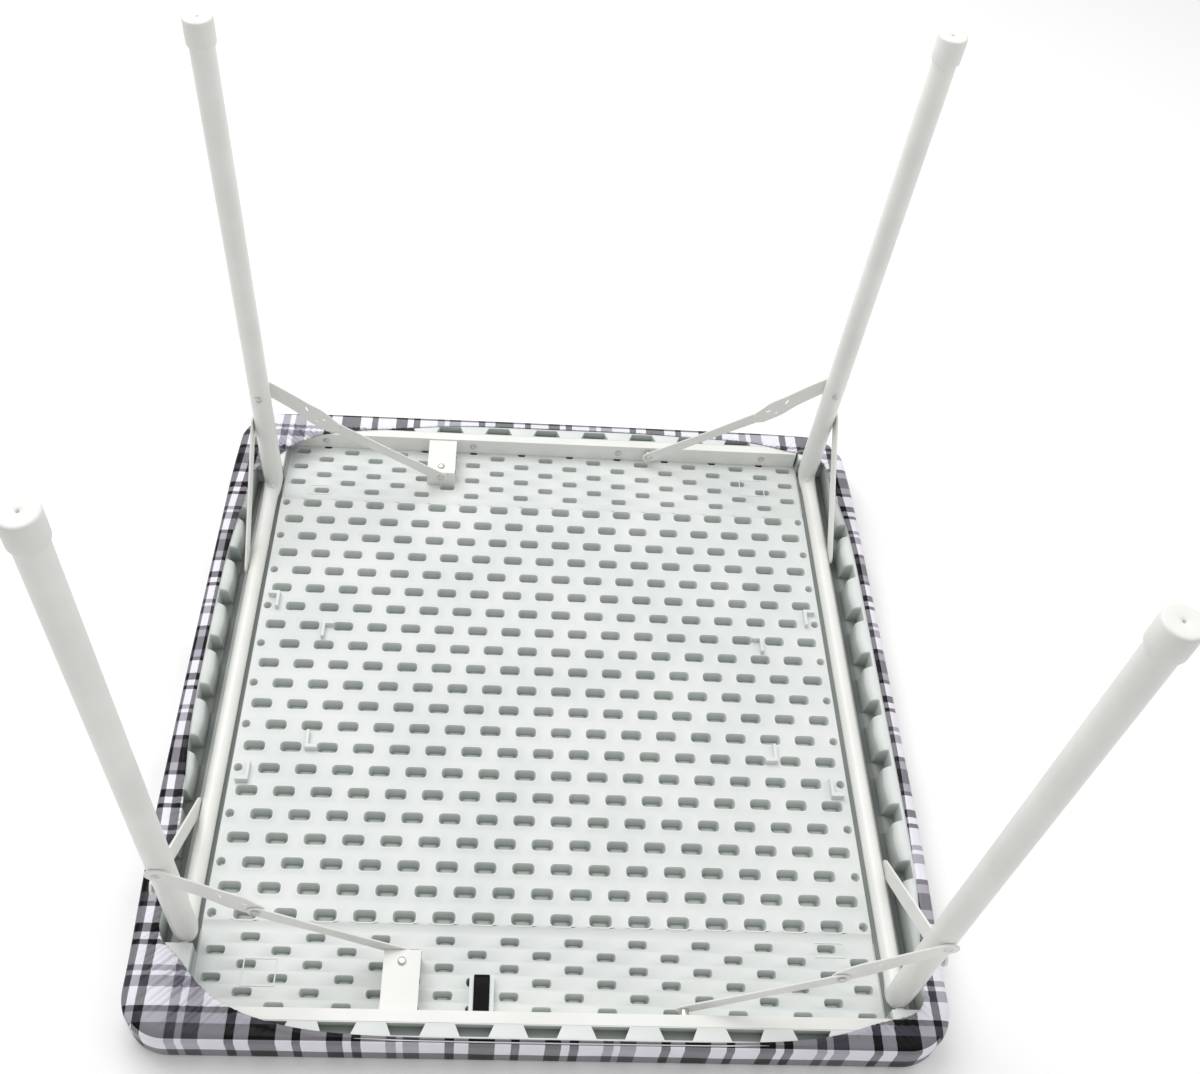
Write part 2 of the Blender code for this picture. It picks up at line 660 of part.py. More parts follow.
def brace_foot(side):
    return Vector((SIDE[side] * BRACE_FOOT_X, BRACE_FOOT_Z))


def link_lengths(side):
    """Upper and lower link: nearly straight at rest, and folded back on each other when the leg
    frame is folded."""
    open_span = (leg_pin(side) - brace_foot(side)).length + BRACE_SLACK
    shut_span = (leg_pin(side, FOLD[side]) - brace_foot(side)).length
    return (open_span - shut_span) / 2, (open_span + shut_span) / 2


def elbow(side, fold=0.0):
    """(x, z) of the joint between the links: the crossing of their two circles that lies nearer
    the hinge end of the leg."""
    pin, foot = leg_pin(side, fold), brace_foot(side)
    upper, lower = link_lengths(side)
    line = foot - pin
    span = line.length
    along = (span ** 2 + upper ** 2 - lower ** 2) / (2 * span)
    aside = math.sqrt(max(upper ** 2 - along ** 2, 0.0))
    unit = line / span
    normal = Vector((-unit.y, unit.x)) * SIDE[side]
    return pin + unit * along + normal * aside


def link_mesh(name, length, holes):
    """A flat link along its own +X from its first hole, with rounded ends."""
    half = BRACE_WIDTH / 2
    outline = arc((0, 0), half, 90, 270, 6) + arc((length, 0), half, 270, 450, 6)
    rounds = [circle((x, 0), radius) for x, radius in holes]
    return outline_mesh(name, [outline] + rounds, BRACE_SHEET)


def stand_link(mesh, start, end, y):
    """Turns a link mesh upright in the plane y, running from start to end in (x, z)."""
    unit = (end - start).normalized()
    along = Vector((unit.x, 0, unit.y))
    facing = Vector((0, -1, 0))
    across = facing.cross(along)
    turn = Matrix((along, across, facing)).transposed().to_4x4()
    mesh.transform(turn)
    return Vector((start.x, y, start.y))


def make_brace(side, end):
    sy = END[end]
    upper_y, lower_y = link_planes(side)
    upper_length, lower_length = link_lengths(side)
    pin, foot, joint = leg_pin(side), brace_foot(side), elbow(side)
    hole = RIVET_RADIUS + RUNNING

    mesh = link_mesh(f"{side}_{end}_upper_link", upper_length,
                     [(0, hole), (upper_length, BRACE_ELBOW_HOLE)])
    start = stand_link(mesh, pin, joint, sy * upper_y)
    swing = swing_empty(f"{side}_{end}_upper_swing", start)
    place(f"{side}_{end}_upper_link", mesh, STEEL, swing)

    mesh = link_mesh(f"{side}_{end}_lower_link", lower_length,
                     [(0, hole), (lower_length, hole)])
    start = stand_link(mesh, foot, joint, sy * lower_y)
    swing = swing_empty(f"{side}_{end}_lower_swing", start)
    place(f"{side}_{end}_lower_link", mesh, STEEL, swing)

    elbow_rivet = turned(f"{side}_{end}_elbow_rivet",
                         rivet_profile(-BRACE_SHEET / 2, BRACE_SHEET / 2 + GAP, low_head=False),
                         ZINC, steps=12)
    aim(elbow_rivet, (joint.x, sy * lower_y, joint.y), (0, sy, 0))

    half = BRACE_SHEET / 2
    if side == "left":
        reach = half + 2 * GAP + BRACKET_SHEET
        profile = rivet_profile(-half - GAP, reach)
    else:
        reach = RAIL_INNER_Y - lower_y
        profile = pin_profile([
            (-half - GAP - RIVET_HEAD_HEIGHT, RIVET_HEAD_RADIUS * 0.5),
            (-half - GAP - RIVET_HEAD_HEIGHT * 0.7, RIVET_HEAD_RADIUS * 0.85),
            (-half - GAP, RIVET_HEAD_RADIUS),
            (-half - GAP, RIVET_RADIUS), (half + GAP, RIVET_RADIUS),
            (half + GAP, RIVET_HEAD_RADIUS), (reach - GAP, RIVET_HEAD_RADIUS),
            (reach - GAP, RIVET_RADIUS), (reach + RAIL_SHEET + 0.001, RIVET_RADIUS),
        ])
    foot_pin = turned(f"{side}_{end}_brace_foot_pin", profile, ZINC, steps=12)
    aim(foot_pin, (foot.x, sy * lower_y, foot.y), (0, sy, 0))


def make_frame(side):
    frame = swing_empty(f"{side}_fold_axis", (SIDE[side] * PIVOT_X, 0, PIVOT_Z))
    frame.rotation_euler = (0, SIDE[side] * LEG_SPLAY, 0)
    make_cross_tube(side, frame)
    for end in END:
        make_leg(side, end, frame)
        make_foot_cap(side, end, frame)
        make_gusset(side, end, frame)
        make_leg_rivet(side, end, frame)
        make_hinge_pin(side, end)
        make_brace(side, end)


clear_scene()
PARTS = new_collection("clothed_folding_table")
CUTTERS = new_collection("cutters")
CLOTH = material("plaid vinyl", (0.42, 0.41, 0.44), 0.45)
ELASTIC = material("elastic", (0.80, 0.80, 0.82), 0.80)
PLASTIC = material("white polyethylene", (0.80, 0.83, 0.82), 0.45)
PLASTIC_CAP = material("white cap plastic", (0.82, 0.82, 0.80), 0.40)
STEEL = material("white powder coat", (0.82, 0.82, 0.79), 0.30)
ZINC = material("zinc-plated steel", (0.62, 0.62, 0.60), 0.30, 1.0)
WEBBING = material("black webbing", (0.010, 0.010, 0.012), 0.85)

make_tablecloth()
make_hem_elastic()
make_tabletop()
for rail_end in END:
    make_rail(rail_end)
    make_bracket(rail_end)
make_strap()
for frame_side in SIDE:
    make_frame(frame_side)
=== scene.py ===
"""A folding card table lying upside down on its top in a fitted plaid cloth, as a visual model
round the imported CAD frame. Lengths are in metres, in the frame of the CAD model."""

import json
import math

import bmesh
import bpy
import numpy as np
from mathutils import Matrix, Vector


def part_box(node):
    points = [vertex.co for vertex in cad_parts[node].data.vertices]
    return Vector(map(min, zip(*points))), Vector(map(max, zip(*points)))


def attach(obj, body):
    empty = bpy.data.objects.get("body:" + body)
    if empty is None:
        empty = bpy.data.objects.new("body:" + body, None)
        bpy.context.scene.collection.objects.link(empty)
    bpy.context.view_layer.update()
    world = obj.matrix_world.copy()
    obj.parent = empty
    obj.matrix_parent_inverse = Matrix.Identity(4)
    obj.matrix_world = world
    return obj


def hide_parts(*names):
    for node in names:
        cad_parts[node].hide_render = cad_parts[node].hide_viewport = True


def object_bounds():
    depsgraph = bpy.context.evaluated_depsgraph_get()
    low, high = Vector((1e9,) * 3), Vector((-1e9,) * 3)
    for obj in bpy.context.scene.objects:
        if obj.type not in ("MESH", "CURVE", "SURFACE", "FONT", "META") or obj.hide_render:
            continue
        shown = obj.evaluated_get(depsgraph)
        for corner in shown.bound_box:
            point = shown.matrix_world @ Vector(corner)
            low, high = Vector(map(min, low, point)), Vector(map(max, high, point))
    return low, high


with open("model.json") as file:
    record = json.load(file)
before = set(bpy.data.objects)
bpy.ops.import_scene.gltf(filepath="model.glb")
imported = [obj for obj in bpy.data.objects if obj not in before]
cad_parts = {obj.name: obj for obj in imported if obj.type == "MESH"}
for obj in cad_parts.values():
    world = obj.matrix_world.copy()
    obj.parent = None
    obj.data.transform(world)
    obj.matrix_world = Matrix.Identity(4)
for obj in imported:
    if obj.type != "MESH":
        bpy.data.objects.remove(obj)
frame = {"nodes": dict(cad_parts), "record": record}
cad_box = [list(corner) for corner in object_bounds()]

# Places taken from the frame

SIDE = {"left": -1, "right": 1}
END = {"near": -1, "far": 1}
JOINTS = {joint["name"]: joint for joint in frame["record"]["behaviour"]["joints"]}


def middle_y(node):
    low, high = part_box(node)
    return (low[1] + high[1]) / 2


def radius_y(node):
    low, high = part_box(node)
    return (high[1] - low[1]) / 2


rail_low, rail_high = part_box("far_rail")
strap_low, strap_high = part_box("leg_strap")

SEAT_GAP = 0.0003            # between a rail and the panel that it stands on
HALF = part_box("tablecloth")[1][0]
RIM_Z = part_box("tabletop")[1][2]
PANEL_Z = rail_low[2] - SEAT_GAP
PIVOT = {side: Vector(JOINTS[f"{side}_leg_fold"]["pos_m"]) for side in SIDE}
RAIL_OUTER_Y = rail_high[1]
LEG_Y = {side: middle_y(f"{side}_far_leg") for side in SIDE}
LEG_RADIUS = radius_y("left_far_leg")
CAP_RADIUS = radius_y("left_far_foot_cap")
TOTAL_HEIGHT = cad_box[1][2]

# Sizes that the frame doesn't give
LEG_SPLAY = math.radians(0.7)
CROSS_RADIUS = 0.010
CROSS_DROP = 0.0135
CROSS_OUT = LEG_RADIUS - CROSS_RADIUS
CAP_SKIRT = 0.026
CAP_TOP = 0.004
PANEL_HALF_X = 0.369
CHANNEL_Z = 0.0125
CHANNEL_OUTER_X = 0.4058
MAIN_RAISE = 0.0014          # the dimpled middle of the panel above its two side strips
CLOTH_THICKNESS = 0.0008
LINK_SHEET = 0.0018
OVERCUT = 0.01               # how far a cutter rises past the rim
PANEL_WELD = 0.00004         # points of the panel this near each other become one
FINE_WELD = 0.000001

RNG = np.random.default_rng(7)

# Materials


class Nodes:
    """Short names for building one material's node tree."""

    def __init__(self, name):
        self.material = bpy.data.materials.new(name)
        self.material.use_nodes = True
        self.tree = self.material.node_tree
        self.shader = self.tree.nodes["Principled BSDF"]

    def add(self, kind, **settings):
        node = self.tree.nodes.new(kind)
        for key, value in settings.items():
            if key in node.inputs:
                node.inputs[key].default_value = value
            else:
                setattr(node, key, value)
        return node

    def link(self, source, target):
        self.tree.links.new(source, target)

    def ramp(self, factor, stops, constant=False):
        node = self.tree.nodes.new("ShaderNodeValToRGB")
        node.color_ramp.interpolation = "CONSTANT" if constant else "LINEAR"
        elements = node.color_ramp.elements
        while len(elements) > 1:
            elements.remove(elements[-1])
        elements[0].position = stops[0][0]
        elements[0].color = (*stops[0][1], 1)
        for position, colour in stops[1:]:
            elements.new(position).color = (*colour, 1)
        self.link(factor, node.inputs["Fac"])
        return node.outputs["Color"]

    def bump(self, height, strength, distance, below=None):
        node = self.add("ShaderNodeBump", Strength=strength, Distance=distance)
        self.link(height, node.inputs["Height"])
        if below is not None:
            self.link(below, node.inputs["Normal"])
        return node.outputs["Normal"]

    def noise(self, coordinates, scale, detail=3.0):
        node = self.add("ShaderNodeTexNoise", Scale=scale, Detail=detail)
        self.link(coordinates, node.inputs["Vector"])
        return node.outputs["Fac"]

    def object_space(self):
        return self.add("ShaderNodeTexCoord").outputs["Object"]

    def math(self, operation, value, by=0.0):
        node = self.add("ShaderNodeMath", operation=operation)
        self.link(value, node.inputs[0])
        node.inputs[1].default_value = by
        return node.outputs[0]

    def finish(self, colour, normal, **values):
        """Links the shader's colour and normal, and sets its other inputs."""
        self.link(colour, self.shader.inputs["Base Color"])
        self.link(normal, self.shader.inputs["Normal"])
        for key, value in values.items():
            self.shader.inputs[key.replace("_", " ")].default_value = value
        return self.material

    def mix(self, factor, first, second, blend="MIX"):
        node = self.add("ShaderNodeMix", data_type="RGBA", blend_type=blend)
        sockets = (node.inputs[0], node.inputs[6], node.inputs[7])    # factor, A and B as colours
        for value, socket in zip((factor, first, second), sockets):
            if isinstance(value, bpy.types.NodeSocket):
                self.link(value, socket)
            else:
                socket.default_value = value if isinstance(value, float) else (*value, 1)
        return node.outputs[2]


def srgb(*values):
    """A colour given in display values, 0 to 255."""
    shares = [v / 255 for v in values]
    return tuple(v / 12.92 if v <= 0.04045 else ((v + 0.055) / 1.055) ** 2.4 for v in shares)


DEPTH_SPAN = 0.05            # the heights that a depth ramp covers


def painted_depth_shade(share):
    """A share of a plastic's colour for its painted shade, slightly green where it is deep."""
    return (0.955 * share, share, 0.975 * share) if share < 0.9 else (share,) * 3


def moulded_plastic(name, colour, shade, roughness, grain=1.0, painted_shading=None):
    """Blow-moulded polyethylene: a fine matte grain and slight patches of tone. Painted shading is
    (height, share) pairs: painted shade darkens the plastic where it goes down deep, and a share
    above 1 is a painted highlight."""
    n = Nodes(name)
    at = n.object_space()
    tone = n.noise(at, 9.0, 2.0)
    surface = n.ramp(tone, [(0.35, shade), (0.65, colour)])
    if painted_shading:
        axes = n.add("ShaderNodeSeparateXYZ")
        n.link(at, axes.inputs[0])
        height = n.add("ShaderNodeMapRange")
        n.link(axes.outputs["Z"], height.inputs["Value"])
        height.inputs["From Max"].default_value = DEPTH_SPAN
        stops = [(z / DEPTH_SPAN, painted_depth_shade(share)) for z, share in painted_shading]
        # painted shade by height: darker low down, and a painted highlight where a share passes 1
        surface = n.mix(1.0, surface, n.ramp(height.outputs["Result"], stops), "MULTIPLY")
    coarse = n.bump(n.noise(at, 60.0), 0.12 * grain, 0.0006)
    fine = n.bump(n.noise(at, 900.0, 2.0), 0.25 * grain, 0.0001, coarse)
    return n.finish(surface, fine, Roughness=roughness, Specular_IOR_Level=0.35)


def powder_coat(name, colour, shade, roughness):
    """Powder-coated steel: a glossy film with a slight orange peel and duller patches."""
    n = Nodes(name)
    at = n.object_space()
    tone = n.noise(at, 14.0, 2.0)
    dull = n.add("ShaderNodeMapRange")
    n.link(n.noise(at, 40.0), dull.inputs["Value"])
    dull.inputs["To Min"].default_value = roughness - 0.06
    dull.inputs["To Max"].default_value = roughness + 0.08
    n.link(dull.outputs["Result"], n.shader.inputs["Roughness"])
    peel = n.bump(n.noise(at, 420.0, 1.0), 0.10, 0.0002)
    return n.finish(n.ramp(tone, [(0.3, shade), (0.7, colour)]), peel)


def zinc_plate(name):
    """Zinc-plated steel: a dull metal with fine scratches."""
    n = Nodes(name)
    scratches = n.noise(n.object_space(), 300.0)
    tone = n.ramp(scratches, [(0.3, srgb(188, 188, 186)), (0.7, srgb(226, 226, 223))])
    return n.finish(tone, n.bump(scratches, 0.15, 0.0002), Metallic=1.0, Roughness=0.38)


def webbing(name, colour, rib):
    """Woven tape: ribs across it and a finer thread along it, with a painted highlight on the rib
    crests.
    """
    n = Nodes(name)
    at = n.object_space()
    waves = []
    for direction, scale in (("Y", 1 / rib / 3.2), ("X", 1 / rib / 2.2)):
        wave = n.add("ShaderNodeTexWave", wave_type="BANDS", bands_direction=direction, Scale=scale)
        n.link(at, wave.inputs["Vector"])
        waves.append(wave.outputs["Fac"])
    ribs, threads = waves
    # painted highlight: the rib crests are painted lighter than the troughs
    light = tuple(min(1.0, 1.9 * c + 0.004) for c in colour)
    woven = n.bump(ribs, 0.7, 0.0006, n.bump(threads, 0.4, 0.0003))
    return n.finish(n.ramp(ribs, [(0.2, colour), (0.9, light)]), woven,
                    Roughness=0.85, Sheen_Weight=0.04, Specular_IOR_Level=0.2)


# The plaid's stripes: (start, end, tone) in metres from the start of one repeat
WARP_REPEAT = 0.2212
WARP_STRIPES = [
    (0.0000, 0.0265, "black"), (0.0430, 0.0515, "black"), (0.0775, 0.0935, "black"),
    (0.1025, 0.1115, "black"), (0.1370, 0.1470, "grey"), (0.1540, 0.1705, "grey"),
    (0.1970, 0.2060, "black"),
]
WEFT_REPEAT = 0.1535
WEFT_STRIPES = [
    (0.0000, 0.0100, "grey"), (0.0100, 0.0290, "black"), (0.0290, 0.0390, "grey"),
    (0.0390, 0.0450, "black"), (0.0640, 0.0750, "grey"), (0.0800, 0.0860, "grey"),
    (0.1070, 0.1125, "black"), (0.1205, 0.1300, "black"), (0.1480, 0.1535, "black"),
]
TONES = {"white": srgb(241, 239, 247), "grey": srgb(116, 113, 125), "black": srgb(9, 8, 11)}
WARP_START = -0.0620 - 0.01325     # where a repeat starts on the table, in x and in y
WEFT_START = 0.0360 - 0.0195


def stripe_stops(stripes, repeat):
    """Colour stops over one repeat, with white between the stripes."""
    stops, reached = [], 0.0
    for start, end, tone in stripes:
        if start > reached + 1e-6:
            stops.append((reached / repeat, TONES["white"]))
        stops.append((start / repeat, TONES[tone]))
        reached = end
    if reached < repeat - 1e-6:
        stops.append((reached / repeat, TONES["white"]))
    return stops


def plaid_vinyl(name):
    """Printed plaid on a flannel-backed vinyl. The weave and the stripes follow the cloth's own
    flat coordinates, in metres, kept in its UV map."""
    n = Nodes(name)
    flat = n.add("ShaderNodeUVMap", uv_map="flat").outputs["UV"]
    parts = n.add("ShaderNodeSeparateXYZ")
    n.link(flat, parts.inputs[0])

    def stripes(place, start, repeat, rows):
        part = n.math("FRACT", n.math("DIVIDE", n.math("SUBTRACT", place, start), repeat))
        return n.ramp(part, stripe_stops(rows, repeat), constant=True)

    warp = stripes(parts.outputs["X"], WARP_START, WARP_REPEAT, WARP_STRIPES)
    weft = stripes(parts.outputs["Y"], WEFT_START, WEFT_REPEAT, WEFT_STRIPES)

    # A fine twill decides which thread is on top, so a crossing of two tones reads as their mix
    twill = n.add("ShaderNodeTexWave", wave_type="BANDS", bands_direction="DIAGONAL", Scale=260.0,
                  Distortion=0.6)
    n.link(flat, twill.inputs["Vector"])
    top = n.ramp(twill.outputs["Fac"], [(0.30, (0.43,) * 3), (0.70, (0.57,) * 3)])
    printed = []
    for colours in (warp, weft):
        value = n.add("ShaderNodeGamma", Gamma=1 / 2.2)
        n.link(colours, value.inputs["Color"])
        printed.append(value.outputs["Color"])
    mixed = n.add("ShaderNodeGamma", Gamma=2.2)
    n.link(n.mix(top, *printed), mixed.inputs["Color"])
    worn = n.noise(flat, 34.0, 4.0)
    veil = n.ramp(worn, [(0.3, (0.93, 0.93, 0.94)), (0.7, (1.0, 1.0, 1.0))])
    crease = n.add("ShaderNodeTexNoise", Scale=26.0, Detail=4.0, Distortion=1.2)
    n.link(flat, crease.inputs["Vector"])
    rough = n.bump(crease.outputs["Fac"], 0.28, 0.0020)
    return n.finish(n.mix(1.0, mixed.outputs["Color"], veil, "MULTIPLY"),
                    n.bump(twill.outputs["Fac"], 0.12, 0.0002, rough),
                    Roughness=0.38, Specular_IOR_Level=0.16)


PLASTIC = moulded_plastic("white polyethylene", srgb(228, 231, 229), srgb(222, 226, 224), 0.42)
PANEL_TONES = srgb(227, 230, 228), srgb(219, 223, 221)
EDGE_TONES = srgb(229, 232, 230), srgb(221, 225, 223)
# Painted shade and highlight: the ramp darkens the dimples towards their floors, where shade falls,
# and lifts the lips of the raised middle above the plastic's colour, a painted highlight.
PANEL_PLASTIC = moulded_plastic(
    "panel plastic, painted shade and highlight", *PANEL_TONES, 0.38, 1.0,
    [(0.0080, 0.22), (0.0100, 0.42), (0.0118, 0.76), (0.0150, 0.82), (0.0195, 0.90),
     (0.0207, 0.97), (0.0217, 0.98), (0.0226, 0.98), (0.0231, 1.08)])
# Painted shade: the ramp turns the rail ports nearly black below the panel, where shade falls.
PORT_PLASTIC = moulded_plastic(
    "rail port plastic, painted shade", *PANEL_TONES, 0.40, 1.0,
    [(0.0080, 0.03), (0.0185, 0.06), (0.0200, 0.30), (0.0210, 0.96)])
# Painted shade: the ramp darkens the channel walls and their pockets towards the channel floor.
CHANNEL_PLASTIC = moulded_plastic(
    "channel plastic, painted shade", *EDGE_TONES, 0.42, 1.0,
    [(0.0128, 0.22), (0.0145, 0.34), (0.0200, 0.52), (0.0280, 0.66), (0.0400, 0.80),
     (0.0475, 0.97)])
# Painted shade: the ramp darkens the panel's rounded edges as they go down into the channels.
EDGE_PLASTIC = moulded_plastic(
    "panel edge plastic, painted shade", *EDGE_TONES, 0.42, 1.0,
    [(0.0124, 0.52), (0.0170, 0.66), (0.0208, 0.88), (0.0222, 1.0)])
# Painted shade: the ramp darkens the moulded top low down, and most at the floors of the pockets
# beside the rails.
RIM_PLASTIC = moulded_plastic(
    "rim plastic, painted shade", *EDGE_TONES, 0.42, 1.0,
    [(0.0100, 0.58), (0.0250, 0.62), (0.0370, 0.34), (0.0400, 0.62), (0.0475, 0.84),
     (0.0485, 1.0)])
CAP_PLASTIC = moulded_plastic(
    "white cap plastic", srgb(240, 240, 236), srgb(232, 232, 227), 0.38, 0.6)
PAINT = powder_coat("white powder coat", srgb(242, 242, 238), srgb(234, 234, 229), 0.30)
ZINC = zinc_plate("zinc plate")
STRAP = webbing("black webbing", srgb(10, 10, 11), 0.0016)
ELASTIC = webbing("hem elastic", srgb(205, 203, 210), 0.0012)
PLAID = plaid_vinyl("plaid vinyl")

# Mesh building

VISUALS = bpy.data.collections.new("visuals")
bpy.context.scene.collection.children.link(VISUALS)


class Shape:
    """Points and faces gathered for one mesh."""

    def __init__(self, rings=None, **settings):
        self.points = []
        self.faces = []
        if rings:
            self.loft(rings, **settings)

    def add(self, points, faces):
        base = len(self.points)
        self.points.extend(tuple(map(float, p)) for p in points)
        self.faces.extend(tuple(base + i for i in face) for face in faces)

    def loft(self, rings, closed=True, cap_start=False, cap_end=False):
        """Joins rings of equally many points."""
        count = len(rings[0])
        points = [p for ring in rings for p in ring]
        faces = []
        for r in range(len(rings) - 1):
            for i in range(count if closed else count - 1):
                j = (i + 1) % count
                low, high = r * count, (r + 1) * count
                faces.append((low + i, low + j, high + j, high + i))
        if cap_start:
            faces.append(tuple(reversed(range(count))))
        if cap_end:
            faces.append(tuple((len(rings) - 1) * count + i for i in range(count)))
        self.add(points, faces)

    def mesh(self, name, weld=0.0):
        made = bpy.data.meshes.new(name)
        made.from_pydata(self.points, [], self.faces)
        if weld:
            bm = bmesh.new()
            bm.from_mesh(made)
            bmesh.ops.remove_doubles(bm, verts=bm.verts, dist=weld)
            bm.to_mesh(made)
            bm.free()
        made.validate()
        return made


def piece(name, mesh, finish, body, slot, replaces=(), angle=40, place=None, weld=0.0):
    """A visible object on a CAD body, from a mesh or a Shape, shaded smooth up to the given
    angle in degrees."""
    if isinstance(mesh, Shape):
        mesh = mesh.mesh(name, weld)
    obj = bpy.data.objects.new(name, mesh)
    VISUALS.objects.link(obj)
    mesh.materials.append(finish)
    if place is not None:
        mesh.transform(place)
    mesh.shade_smooth()
    mesh.set_sharp_from_angle(angle=math.radians(angle))
    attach(obj, body)
    if replaces:
        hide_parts(*replaces)
    return obj


def top_piece(name, mesh, finish=PLASTIC, **settings):
    """A piece of the moulded top."""
    return piece(name, mesh, finish, "clothed_top", "white_polyethylene", **settings)


def frame_piece(name, mesh, side, **settings):
    """A painted piece of one leg frame."""
    return piece(name, mesh, PAINT, f"{side}_frame", "white_painted_steel", **settings)


def evaluated_mesh(obj):
    """A copy of an object's mesh with its modifiers applied."""
    bpy.context.view_layer.update()
    graph = bpy.context.evaluated_depsgraph_get()
    return bpy.data.meshes.new_from_object(obj.evaluated_get(graph))


def turned(profile, steps=56):
    """A surface of revolution about Z through (radius, z) points."""
    angles = [2 * math.pi * i / steps for i in range(steps)]
    rings = [[(r * math.cos(a), r * math.sin(a), z) for a in angles] for r, z in profile]
    return Shape(rings, cap_start=profile[0][0] > 1e-5, cap_end=profile[-1][0] > 1e-5)


def swept(path, radii, steps=48):
    """A tube along a path that never runs along X, with a radius at each point."""
    side = Vector((1, 0, 0))
    rings = []
    for i, point in enumerate(path):
        before, after = path[max(i - 1, 0)], path[min(i + 1, len(path) - 1)]
        along = (Vector(after) - Vector(before)).normalized()
        across = along.cross(side).normalized()
        out = across.cross(along)
        angles = [2 * math.pi * k / steps for k in range(steps)]
        rings.append([Vector(point) + radii[i] * (math.cos(a) * out + math.sin(a) * across)
                      for a in angles])
    return Shape(rings, cap_start=True, cap_end=True)


def arc(centre, radius, start, end, steps):
    """Points on an arc from one angle to another, in degrees."""
    angles = [math.radians(start + (end - start) * i / steps) for i in range(steps + 1)]
    return [(centre[0] + radius * math.cos(a), centre[1] + radius * math.sin(a)) for a in angles]


def plate(outlines, thickness, edge):
    """A flat plate with rounded edges, in XY and centred on z = 0."""
    curve = bpy.data.curves.new("plate", "CURVE")
    curve.dimensions = "2D"
    curve.fill_mode = "BOTH"
    curve.extrude = thickness / 2 - edge
    curve.bevel_depth = edge
    curve.bevel_resolution = 2
    curve.offset = -edge
    for outline in outlines:
        spline = curve.splines.new("POLY")
        spline.points.add(len(outline) - 1)
        for point, (x, y) in zip(spline.points, outline):
            point.co = (x, y, 0.0, 1.0)
        spline.use_cyclic_u = True
    holder = bpy.data.objects.new("plate", curve)
    bpy.context.scene.collection.objects.link(holder)
    mesh = evaluated_mesh(holder)
    bpy.data.objects.remove(holder, do_unlink=True)
    return mesh


def smooth(value):
    """A smooth step from 0 to 1."""
    value = np.clip(value, 0.0, 1.0)
    return value * value * (3 - 2 * value)


# Moulded underside

DIMPLE_PITCH = 0.04327
DIMPLE_ROW = 0.0290
STRIP_PITCH = 0.0700
STRIP_ROW = 0.0145
DIMPLE_ROWS, DIMPLE_COLUMNS = 10, 8       # on each side of the middle
DIMPLE_HALF = (0.0125, 0.0064)
END_DIMPLE_HALF = (0.0050, 0.0050)
END_DIMPLE_X, END_DIMPLE_DEPTH = 0.3605, 0.010
STRIP_ROWS = 6
STRIP_HALF, STRIP_DEPTH, STRIP_LIP = (0.0103, 0.0044), 0.011, 0.55
PORT_HALF, PORT_DEPTH, PORT_LIP = (0.0056, 0.0042), 0.014, 0.5
PANEL_END_X = (DIMPLE_COLUMNS + 0.5) * DIMPLE_PITCH
STEP_Y = 0.2970               # where the raised middle of the panel ends
STRIP_Y = 0.30775
PORT_Y = 0.3930
PORT_MIDDLE_Y = 0.3983
PORT_REACH_X = 0.33           # no port's middle lies past this
ACROSS, UP = 10, 6            # segments along a cell's long and short sides
PANEL_ROUND = [               # (how far out, how far down) over the panel's long edge
    (0.0, 0.0), (0.0004, 0.0), (0.0010, 0.0006), (0.0013, 0.0018), (0.00135, 0.0040),
    (0.0014, 0.0068),
]


def cell_boundary(x0, x1, y0, y1, across):
    """Points round a rectangle from its lower left corner, anticlockwise."""
    xs, ys = np.linspace(x0, x1, across + 1), np.linspace(y0, y1, UP + 1)
    loop = [(x, y0) for x in xs[:-1]] + [(x1, y) for y in ys[:-1]]
    loop += [(x, y1) for x in xs[:0:-1]] + [(x0, y) for y in ys[:0:-1]]
    return loop


def oblong(boundary, box, centre, half_x, half_y, radius):
    """The boundary's points moved onto a round-ended oblong."""
    x0, x1, y0, y1 = box
    ring = []
    for x, y in boundary:
        qx = (2 * (x - x0) / (x1 - x0) - 1) * half_x
        qy = (2 * (y - y0) / (y1 - y0) - 1) * half_y
        cx = max(half_x - radius, 0.0)
        cy = max(half_y - radius, 0.0)
        if abs(qx) > cx and abs(qy) > cy:
            dx, dy = abs(qx) - cx, abs(qy) - cy
            size = math.hypot(dx, dy) or 1.0
            qx = math.copysign(cx + radius * dx / size, qx)
            qy = math.copysign(cy + radius * dy / size, qy)
        ring.append((centre[0] + qx, centre[1] + qy))
    return ring


def dimple(shape, box, z, centre=None, half=None, depth=0.0125, across=ACROSS, lip=1.0):
    """One cell of the panel, flat or with a moulded pocket in it."""
    x0, x1, y0, y1 = box
    boundary = cell_boundary(x0, x1, y0, y1, across)
    if half is None:
        shape.add([(x, y, z) for x, y in boundary], [tuple(range(len(boundary)))])
        return
    half_x, half_y = half
    small = min(half_x, half_y)
    rings = [[(x, y, z) for x, y in boundary]]
    steps = [                 # (how far past the pocket's edge, height) from its lip to its floor
        (0.0019, 0.0), (0.0012, 0.00035), (0.0004, 0.00020), (0.0, -0.0007), (-0.0005, -0.0030),
        (-0.0013, -depth * 0.75), (-0.0020, -depth * 0.93), (-0.0030, -depth),
    ]
    for grow, rise in steps:
        grow *= lip if grow > 0 else 1.0
        hx, hy = half_x + grow, half_y + grow
        round_off = small * (1.0 if half_x == half_y else 0.74) + grow
        ring = oblong(boundary, box, centre, hx, hy, max(min(round_off, hy, hx), 0.0004))
        rings.append([(x, y, z + rise) for x, y in ring])
    inner = oblong(boundary, box, centre, half_x * 0.45, half_y * 0.30, half_y * 0.28)
    rings.append([(x, y, z - depth + 0.0012) for x, y in inner])
    shape.loft(rings, True, False, True)


